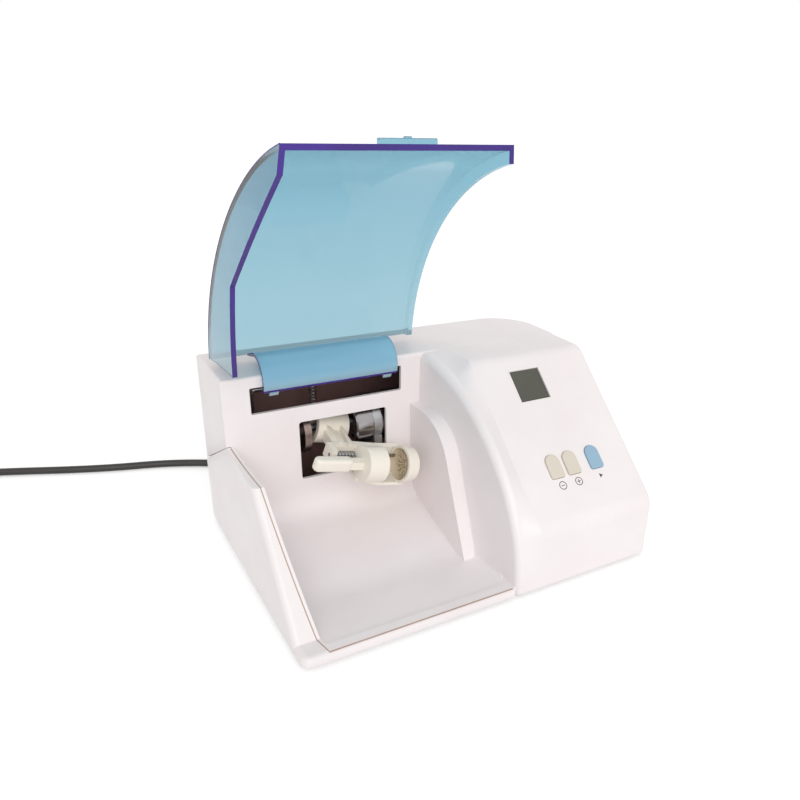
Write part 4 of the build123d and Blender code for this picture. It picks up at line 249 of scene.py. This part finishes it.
finish_of = {
    "casing": casing,
    "lid": lid_clear,
    "cream": cream,
    "rubber": rubber,
    "steel": steel,
    "chrome": polished,
    "aluminium": alloy,
    "magnet": ferrite,
    "copper": copper,
    "board": laminate,
    "black": black,
    "beige_key": beige_key,
    "blue_key": blue_key,
    "display": lens,
    "cord": cord_skin,
}
SHARP_ANGLE = radians(24)
for part in frame["record"]["subparts"]:
    mesh = nodes[part["node"]].data
    mesh.materials.clear()
    mesh.materials.append(finish_of[part["material_slot"]])
for name in ("drive_chassis", "balance_disc"):
    nodes[name].data.materials[0] = dark_plate
for name in ("motor_can", "motor_caps"):
    nodes[name].data.materials[0] = mirror
for node in nodes.values():
    for face in node.data.polygons:
        face.use_smooth = True
    node.data.set_sharp_from_angle(angle=SHARP_ANGLE)

# ------------------------------------- second materials, found in millimetres
WIDTH, DEPTH, HEIGHT = BODY_WIDTH * 1000, BODY_DEPTH * 1000, BODY_HEIGHT * 1000
WALL = 2.5
FLOOR_TOP = 2.3
DECK_FRONT = 128.4
SLACK = 0.1
BACK_SLACK = 0.3
cavity = place(0.13, 0.155, 0.07)


def fit(spot):
    """Distances from the casing's left side, its front and its underside."""
    return (
        spot.x * 1000 + WIDTH / 2,
        spot.y * 1000 + DEPTH / 2,
        spot.z * 1000 - FOOT * 1000,
    )


def painted_shade_face(face):
    """Inner faces of the casing behind the window wall, which get a dark brown painted shade."""
    left, front, up = fit(face.center)
    behind = DECK_FRONT + WALL - SLACK < front < DEPTH - WALL + BACK_SLACK - BACK_LEAN * up
    beside = WALL - SLACK < left < WIDTH - WALL + SLACK
    between = FLOOR_TOP < up < HEIGHT - WALL + SLACK
    return behind and beside and between and face.normal.dot(cavity - face.center) > 0


# The inner faces behind the window wall get the dark brown painted shade.
for name in ("upper_housing", "base_shell"):
    mesh = nodes[name].data
    mesh.materials.append(inside)
    for face in mesh.polygons:
        if painted_shade_face(face):
            face.material_index = 1

# The lid's cut edges are deep violet. Its shape is read in its closed position.
OPENED = radians(94.5)
HINGE_FRONT, HINGE_UP = 140.0, 125.4
LID_SIDE = ((0.4, 6.4), (14.5, 6.4), (74.3, 80.4), (127.7, 87.0), (127.2, 125.4), (128.5, 143.4))
TONGUE_SIDES = (26.3, 121.0)
TONGUE_END = -pi / 3
TONGUE_DEEP = 0.16  # radians before its end
END_FACE = (13, 16)  # nearest and furthest from the hinge
ROLL = (12.5, 16.5)
ON_END, ON_SIDE, ON_OUTLINE = 0.01, 0.05, 0.06


def closed(spot):
    """Distances from the left side and from the hinge, with the lid shut."""
    left, front, up = fit(spot)
    front, up = front - HINGE_FRONT, up - HINGE_UP
    return left, front * cos(OPENED) - up * sin(OPENED), front * sin(OPENED) + up * cos(OPENED)


def off_line(front, up, start, end):
    line = Vector((end[0] - start[0], end[1] - start[1]))
    away = Vector((front - start[0], up - start[1]))
    share = min(max(away.dot(line) / line.length_squared, 0), 1)
    return (away - line * share).length


def cut_edge(spots):
    """A face along the side's outline, or on a side or the end of the tongue."""
    for side in TONGUE_SIDES:
        if all(abs(left - side) < ON_SIDE for left, _, _ in spots):
            return True
    if all(
        abs(atan2(up, front) - TONGUE_END) < ON_END and END_FACE[0] < hypot(front, up) < END_FACE[1]
        for _, front, up in spots
    ):
        return True
    return any(
        all(
            off_line(front + HINGE_FRONT, up + HINGE_UP, start, end) < ON_OUTLINE
            for _, front, up in spots
        )
        for start, end in zip(LID_SIDE, LID_SIDE[1:])
    )


def on_roll(face):
    """The tongue that rolls over the deck's edge."""
    left, front, up = closed(face.center)
    return ROLL[0] < hypot(front, up) < ROLL[1] and TONGUE_SIDES[0] < left < TONGUE_SIDES[1]


def roll_end(spots):
    """The last two millimetres of the tongue, as deep in colour as its cut edge."""
    return all(-TONGUE_DEEP < atan2(up, front) - TONGUE_END < ON_END for _, front, up in spots)


lid_mesh = nodes["lid"].data
lid_mesh.materials.append(lid_edge)
lid_mesh.materials.append(lid_roll)
for face in lid_mesh.polygons:
    spots = [closed(lid_mesh.vertices[index].co) for index in face.vertices]
    if cut_edge(spots):
        face.material_index = 1
    elif on_roll(face):
        face.material_index = 1 if roll_end(spots) else 2

# ------------------------------------------- inside of the dish, in metres again
DISH_FORWARD = 0.049
DISH_FLOOR, DISH_MOUTH = 0.0367, 0.0455
DISH_RADIUS = 0.0119
holder_mesh = nodes["holder_arm"].data
holder_mesh.materials.append(dish_inside)
for face in holder_mesh.polygons:
    away = face.center - hub
    reach = away.dot(along)
    aside = (away - along * reach - forward * DISH_FORWARD).length
    if DISH_FLOOR < reach < DISH_MOUTH and aside < DISH_RADIUS:
        face.material_index = 1


# --------------------------------------------------------------------- pieces
def add_piece(name, data, body):
    piece = bpy.data.objects.new(name, data)
    scene.collection.objects.link(piece)
    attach(piece, body)
    return piece


def round_line(name, spots, radius, sides, steps, material):
    """Round line that follows its points as a smooth curve."""
    curve = bpy.data.curves.new(name, "CURVE")
    curve.dimensions = "3D"
    spline = curve.splines.new("NURBS")
    spline.points.add(len(spots) - 1)
    for point, spot in zip(spline.points, spots):
        point.co = (*spot, 1)
    spline.order_u = 3
    spline.use_endpoint_u = True
    spline.resolution_u = steps
    curve.bevel_depth = radius
    curve.bevel_resolution = sides
    curve.use_fill_caps = True
    curve.materials.append(material)
    return curve


# ----------------------------------------------------------------------- cord
CORD = 0.006
CORD_UP = CORD / 2 + 0.0001
GLAND_LEFT, GLAND_UP = 0.060, 0.025
CORD_IN_CASE, CORD_OUT_STRAIGHT = 0.008, 0.034
CORD_STOPS = (
    (0.047, 0.2685),
    (-0.0061, 0.2996),
    (-0.0638, 0.3143),
    (-0.1414, 0.3477),
    (-0.189, 0.363),
)
COIL_RADIUS = 0.0385
COIL_PITCH = 0.0066
COIL_IN = 2.5
COIL_TURNS = 6
COIL_STEPS = 16
PLUG_UP = 0.0068
TAIL = 0.030
lean = atan(BACK_LEAN)
wall_out = Vector((0, cos(lean), sin(lean)))
wall_up = Vector((0, -sin(lean), cos(lean)))
gland = place(GLAND_LEFT, BODY_DEPTH, 0) + wall_up * GLAND_UP


def on_floor(left, front):
    spot = place(left, front, 0)
    return Vector((spot.x, spot.y, CORD_UP))


def cord_route():
    """Out of the gland, over the table, into a coil of two layers and to the plug."""
    route = [gland - wall_out * CORD_IN_CASE, gland + wall_out * CORD_OUT_STRAIGHT]
    route.extend(on_floor(left, front) for left, front in CORD_STOPS)
    run = (route[-1] - route[-2]).normalized()
    leftward = Vector((-run.y, run.x, 0))
    centre = route[-1] + leftward * COIL_RADIUS
    middle = COIL_IN + 0.25
    for index in range(1, COIL_TURNS * COIL_STEPS + 1):
        turns = index / COIL_STEPS
        climb = min(max((turns - COIL_IN) / 0.5, 0), 1)
        radius = COIL_RADIUS - middle * COIL_PITCH + abs(turns - middle) * COIL_PITCH
        arm = leftward * -cos(2 * pi * turns) + run * sin(2 * pi * turns)
        height = COIL_PITCH * climb * climb * (3 - 2 * climb)
        route.append(centre + arm * radius + Vector((0, 0, height)))
    tail = route[-1] + run * TAIL
    plug = Vector((tail.x, tail.y, PLUG_UP))
    route += [route[-1] + run * 0.012, plug - run * 0.010, plug + run * CORD]
    return route


def add_cord():
    curve = round_line("mains_cord", cord_route(), CORD / 2, 4, 8, cord_skin)
    piece = add_piece("mains_cord", curve, "housing")
    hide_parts("power_cord", "power_cord_coil")


add_cord()


def add_spring(node, name, body):
    """A copy of a spring's mesh on a body, in place of the part it copies."""
    piece = add_piece(name, nodes[node].data.copy(), body)
    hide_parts(node)
    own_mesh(piece)


add_spring("jaw_spring", "jaw_coil_spring", "jaw")
add_spring(
    "holder_spring",
    "holder_coil_spring",
    "housing",
)

# ---------------------------------------------------------- trim on the panel
ACROSS = Vector((1, 0, 0))
UPSLOPE = Vector((0, cos(PANEL_ANGLE), sin(PANEL_ANGLE)))
OUT = Vector((0, -sin(PANEL_ANGLE), cos(PANEL_ANGLE)))
TRIM_SUNK = 0.00002


def add_mesh(name, bm, material):
    bmesh.ops.recalc_face_normals(bm, faces=bm.faces)
    mesh = bpy.data.meshes.new(name)
    bm.to_mesh(mesh)
    bm.free()
    mesh.materials.append(material)
    add_piece(name, mesh, "housing")


def rectangle(left, right, low, high):
    return [(left, low), (right, low), (right, high), (left, high)]


def raised_on_panel(name, outlines, thickness, material):
    """Flat shapes on the panel's slope, from just under its surface."""
    base = place(0, 0, PANEL_FOOT) - OUT * TRIM_SUNK
    bm = bmesh.new()
    for outline in outlines:
        spots = [base + ACROSS * x + UPSLOPE * y for x, y in outline]
        lower = [bm.verts.new(spot) for spot in spots]
        upper = [bm.verts.new(spot + OUT * thickness) for spot in spots]
        bm.faces.new(list(reversed(lower)))
        bm.faces.new(upper)
        for index in range(len(outline)):
            after = (index + 1) % len(outline)
            bm.faces.new((lower[index], lower[after], upper[after], upper[index]))
    add_mesh(name, bm, material)


SIGN_SLOPE = 0.0268
MINUS_LEFT, PLUS_LEFT = 0.1928, 0.2065
POINTER_LEFT, POINTER_RIGHT, POINTER_HALF = 0.2249, 0.2277, 0.0016
RING_OUTER, RING_INNER = 0.0030, 0.0025
RING_STEPS = 28
BAR, HAIR = 0.0014, 0.00025  # half length and half width of a stroke


def add_symbols():
    """A ring with a minus, a ring with a plus and a pointer under the keys."""
    shapes = []
    for left in (MINUS_LEFT, PLUS_LEFT):
        for index in range(RING_STEPS):
            a, b = 2 * pi * index / RING_STEPS, 2 * pi * (index + 1) / RING_STEPS
            ring = ((a, RING_OUTER), (b, RING_OUTER), (b, RING_INNER), (a, RING_INNER))
            shapes.append(
                [(left + reach * cos(turn), SIGN_SLOPE + reach * sin(turn)) for turn, reach in ring]
            )
        shapes.append(rectangle(left - BAR, left + BAR, SIGN_SLOPE - HAIR, SIGN_SLOPE + HAIR))
    for low, high in ((-BAR, -HAIR), (HAIR, BAR)):
        shapes.append(
            rectangle(PLUS_LEFT - HAIR, PLUS_LEFT + HAIR, SIGN_SLOPE + low, SIGN_SLOPE + high)
        )
    shapes.append(
        [
            (POINTER_LEFT, SIGN_SLOPE - POINTER_HALF),
            (POINTER_RIGHT, SIGN_SLOPE),
            (POINTER_LEFT, SIGN_SLOPE + POINTER_HALF),
        ]
    )
    raised_on_panel("key_symbols", shapes, 0.00008, ink)


DISPLAY_LEFT, DISPLAY_SLOPE = 0.2012, 0.1036
DISPLAY_HALF = 0.0125
BEZEL_RIM = 0.0009


def add_bezel():
    """Thin raised edge round the display."""
    outer = DISPLAY_HALF + BEZEL_RIM
    left, right = DISPLAY_LEFT - outer, DISPLAY_LEFT + outer
    inner_left, inner_right = DISPLAY_LEFT - DISPLAY_HALF, DISPLAY_LEFT + DISPLAY_HALF
    low, high = DISPLAY_SLOPE - outer, DISPLAY_SLOPE + outer
    inner_low, inner_high = DISPLAY_SLOPE - DISPLAY_HALF, DISPLAY_SLOPE + DISPLAY_HALF
    shapes = [
        rectangle(left, right, low, inner_low),
        rectangle(left, right, inner_high, high),
        rectangle(left, inner_left, inner_low, inner_high),
        rectangle(inner_right, right, inner_low, inner_high),
    ]
    raised_on_panel("display_bezel", shapes, 0.00027, casing)


add_symbols()
add_bezel()


# ------------------------------------------- lines on the rim, in millimetres
def circle_through(a, b, c):
    """Centre and radius of the circle through three flat points."""
    d = 2 * (a[0] * (b[1] - c[1]) + b[0] * (c[1] - a[1]) + c[0] * (a[1] - b[1]))
    sa, sb, sc = (p[0] ** 2 + p[1] ** 2 for p in (a, b, c))
    x = (sa * (b[1] - c[1]) + sb * (c[1] - a[1]) + sc * (a[1] - b[1])) / d
    y = (sa * (c[0] - b[0]) + sb * (a[0] - c[0]) + sc * (b[0] - a[0])) / d
    return x, y, hypot(a[0] - x, a[1] - y)


TRAY_RIGHT = 143.6
CORNER_LEFT, CORNER_FRONT = 16.4, 2.2
RIM = circle_through((CORNER_LEFT, CORNER_FRONT), (5.2, 75.0), (2.2, DECK_FRONT))
RIM_PROFILE = ((15.2, 5.7), (75.0, 79.7), (DECK_FRONT, 84.5))
SEAM_GAP = 0.15
SEAM_STOPS = (4.0, 9.0, 15.2, 25.0, 35.0, 45.0, 55.0, 65.0, 75.0, 88.0, 102.0, 115.0, 126.5)
SEAM_WIDTH, SEAM_PROUD, SEAM_SUNK = 0.0008, 0.00012, 0.0003
LID_ARC = ((1.2, 6.4), (38.8, 90.5), (128.5, 143.4))
LINE_INSET = 0.15
LINE_STEPS = 24


def rim_left(front):
    """Left side of the parting line at a distance from the front."""
    return RIM[0] - sqrt(RIM[2] ** 2 - (front - RIM[1]) ** 2)


def rim_up(front):
    """Height of the parting line at a distance from the front."""
    height = RIM_PROFILE[0][1]
    for (near, low), (far, high) in zip(RIM_PROFILE, RIM_PROFILE[1:]):
        if front >= near:
            height = low + (front - near) * (high - low) / (far - near)
    return height


def place_mm(left, front, up):
    return place(left / 1000, front / 1000, up / 1000)


def add_seam_shade():
    """Strip of painted shade along the seam between the tray and the base shell."""
    low = rim_up(0)
    spots = [
        (TRAY_RIGHT, CORNER_FRONT - SEAM_GAP, low),
        (CORNER_LEFT + SEAM_GAP, CORNER_FRONT - SEAM_GAP, low),
    ]
    spots.extend((rim_left(front) + SEAM_GAP, front, rim_up(front)) for front in SEAM_STOPS)
    points = [place_mm(*spot) for spot in spots]
    half = SEAM_WIDTH / 2
    section = ((-half, -SEAM_SUNK), (-half, 0), (0, SEAM_PROUD), (half, 0), (half, -SEAM_SUNK))
    bm = bmesh.new()
    rows = []
    for index, point in enumerate(points):
        before = points[max(index - 1, 0)]
        after = points[min(index + 1, len(points) - 1)]
        heading = (after - before).normalized()
        aside = Vector((-heading.y, heading.x, 0)).normalized()
        out = heading.cross(aside)
        if out.z <= 0:
            out = -out
        rows.append([bm.verts.new(point + aside * x + out * z) for x, z in section])
    for near, far in zip(rows, rows[1:]):
        for index in range(len(section)):
            after = (index + 1) % len(section)
            bm.faces.new((near[index], near[after], far[after], far[index]))
    bm.faces.new(rows[0])
    bm.faces.new(list(reversed(rows[-1])))
    add_mesh("seam_painted_shade", bm, seam)


def opened(left, front, up):
    """Point of the open lid that is at these distances when it is shut."""
    front, up = front - HINGE_FRONT, up - HINGE_UP
    y = front * cos(OPENED) + up * sin(OPENED) + HINGE_FRONT
    z = -front * sin(OPENED) + up * cos(OPENED) + HINGE_UP
    return place_mm(left, y, z)


def add_lid_line():
    """Violet line where the lid's curved front meets its left side."""
    centre_front, centre_up, radius = circle_through(*LID_ARC)
    start = atan2(LID_ARC[0][1] - centre_up, LID_ARC[0][0] - centre_front)
    end = atan2(LID_ARC[-1][1] - centre_up, LID_ARC[-1][0] - centre_front)
    if end - start > pi:
        start += 2 * pi
    if start - end > pi:
        end += 2 * pi
    spots = []
    for index in range(LINE_STEPS + 1):
        turn = start + (end - start) * index / LINE_STEPS
        front = centre_front + (radius - LINE_INSET) * cos(turn)
        up = centre_up + (radius - LINE_INSET) * sin(turn)
        rim = CORNER_LEFT if front < CORNER_FRONT else rim_left(min(front, DECK_FRONT))
        spots.append(opened(rim + LINE_INSET, front, up))
    curve = round_line("lid_corner_line", spots, 0.00035, 2, 12, lid_edge)
    add_piece("lid_corner_line", curve, "lid")


add_seam_shade()
add_lid_line()

# ----------------------------------------------------------------------- stage
FLOOR_HALF = 6.0
FLOOR_GLOW = 0.3
WORLD_LIGHT = 0.69
WHITE = grey(1)


def seen_by_eye(tree):
    """1 for rays from the camera, in reflections and through the lid."""
    path = tree.nodes.new("ShaderNodeLightPath")
    total = path.outputs["Is Camera Ray"]
    for kind in ("Is Glossy Ray", "Is Transmission Ray"):
        either = tree.nodes.new("ShaderNodeMath")
        either.operation = "MAXIMUM"
        tree.links.new(total, either.inputs[0])
        tree.links.new(path.outputs[kind], either.inputs[1])
        total = either.outputs[0]
    return total


def mix_by_eye(tree, plain_shader, seen_shader, output):
    """One shader for the light that falls on things and one for what is seen."""
    mix = tree.nodes.new("ShaderNodeMixShader")
    tree.links.new(seen_by_eye(tree), mix.inputs["Fac"])
    tree.links.new(plain_shader.outputs[0], mix.inputs[1])
    tree.links.new(seen_shader.outputs[0], mix.inputs[2])
    tree.links.new(mix.outputs[0], tree.nodes[output].inputs["Surface"])


def add_floor():
    bm = bmesh.new()
    corners = rectangle(-FLOOR_HALF, FLOOR_HALF, -FLOOR_HALF, FLOOR_HALF)
    bm.faces.new([bm.verts.new((x, y, 0)) for x, y in corners])
    mesh = bpy.data.meshes.new("floor")
    bm.to_mesh(mesh)
    bm.free()
    floor = bpy.data.objects.new("floor", mesh)
    scene.collection.objects.link(floor)
    material, tree, shader = new_material("floor")
    shader.inputs["Base Color"].default_value = grey(0.88)
    shader.inputs["Roughness"].default_value = 0.9
    shader.inputs["Specular IOR Level"].default_value = 0.0
    glow = tree.nodes.new("ShaderNodeEmission")
    glow.inputs["Strength"].default_value = FLOOR_GLOW
    both = tree.nodes.new("ShaderNodeAddShader")
    tree.links.new(shader.outputs[0], both.inputs[0])
    tree.links.new(glow.outputs[0], both.inputs[1])
    mix_by_eye(tree, shader, both, "Material Output")
    mesh.materials.append(material)


def add_world():
    world = bpy.data.worlds.new("studio")
    scene.world = world
    world.use_nodes = True
    tree = world.node_tree
    background = tree.nodes["Background"]
    background.inputs["Color"].default_value = WHITE
    background.inputs["Strength"].default_value = WORLD_LIGHT
    white = tree.nodes.new("ShaderNodeBackground")
    white.inputs["Color"].default_value = WHITE
    white.inputs["Strength"].default_value = 1.0
    mix_by_eye(tree, background, white, "World Output")


def add_light(name, heading, softness, strength):
    """Broad soft light that comes from one direction."""
    data = bpy.data.lights.new(name, "SUN")
    data.angle = radians(softness)
    data.energy = strength
    lamp = bpy.data.objects.new(name, data)
    scene.collection.objects.link(lamp)
    lamp.rotation_euler = Vector(heading).to_track_quat("-Z", "Y").to_euler()


add_floor()
add_world()
add_light("key", (0.22, 0.82, -0.52), 50, 1.2)
scene.view_settings.view_transform = "Standard"
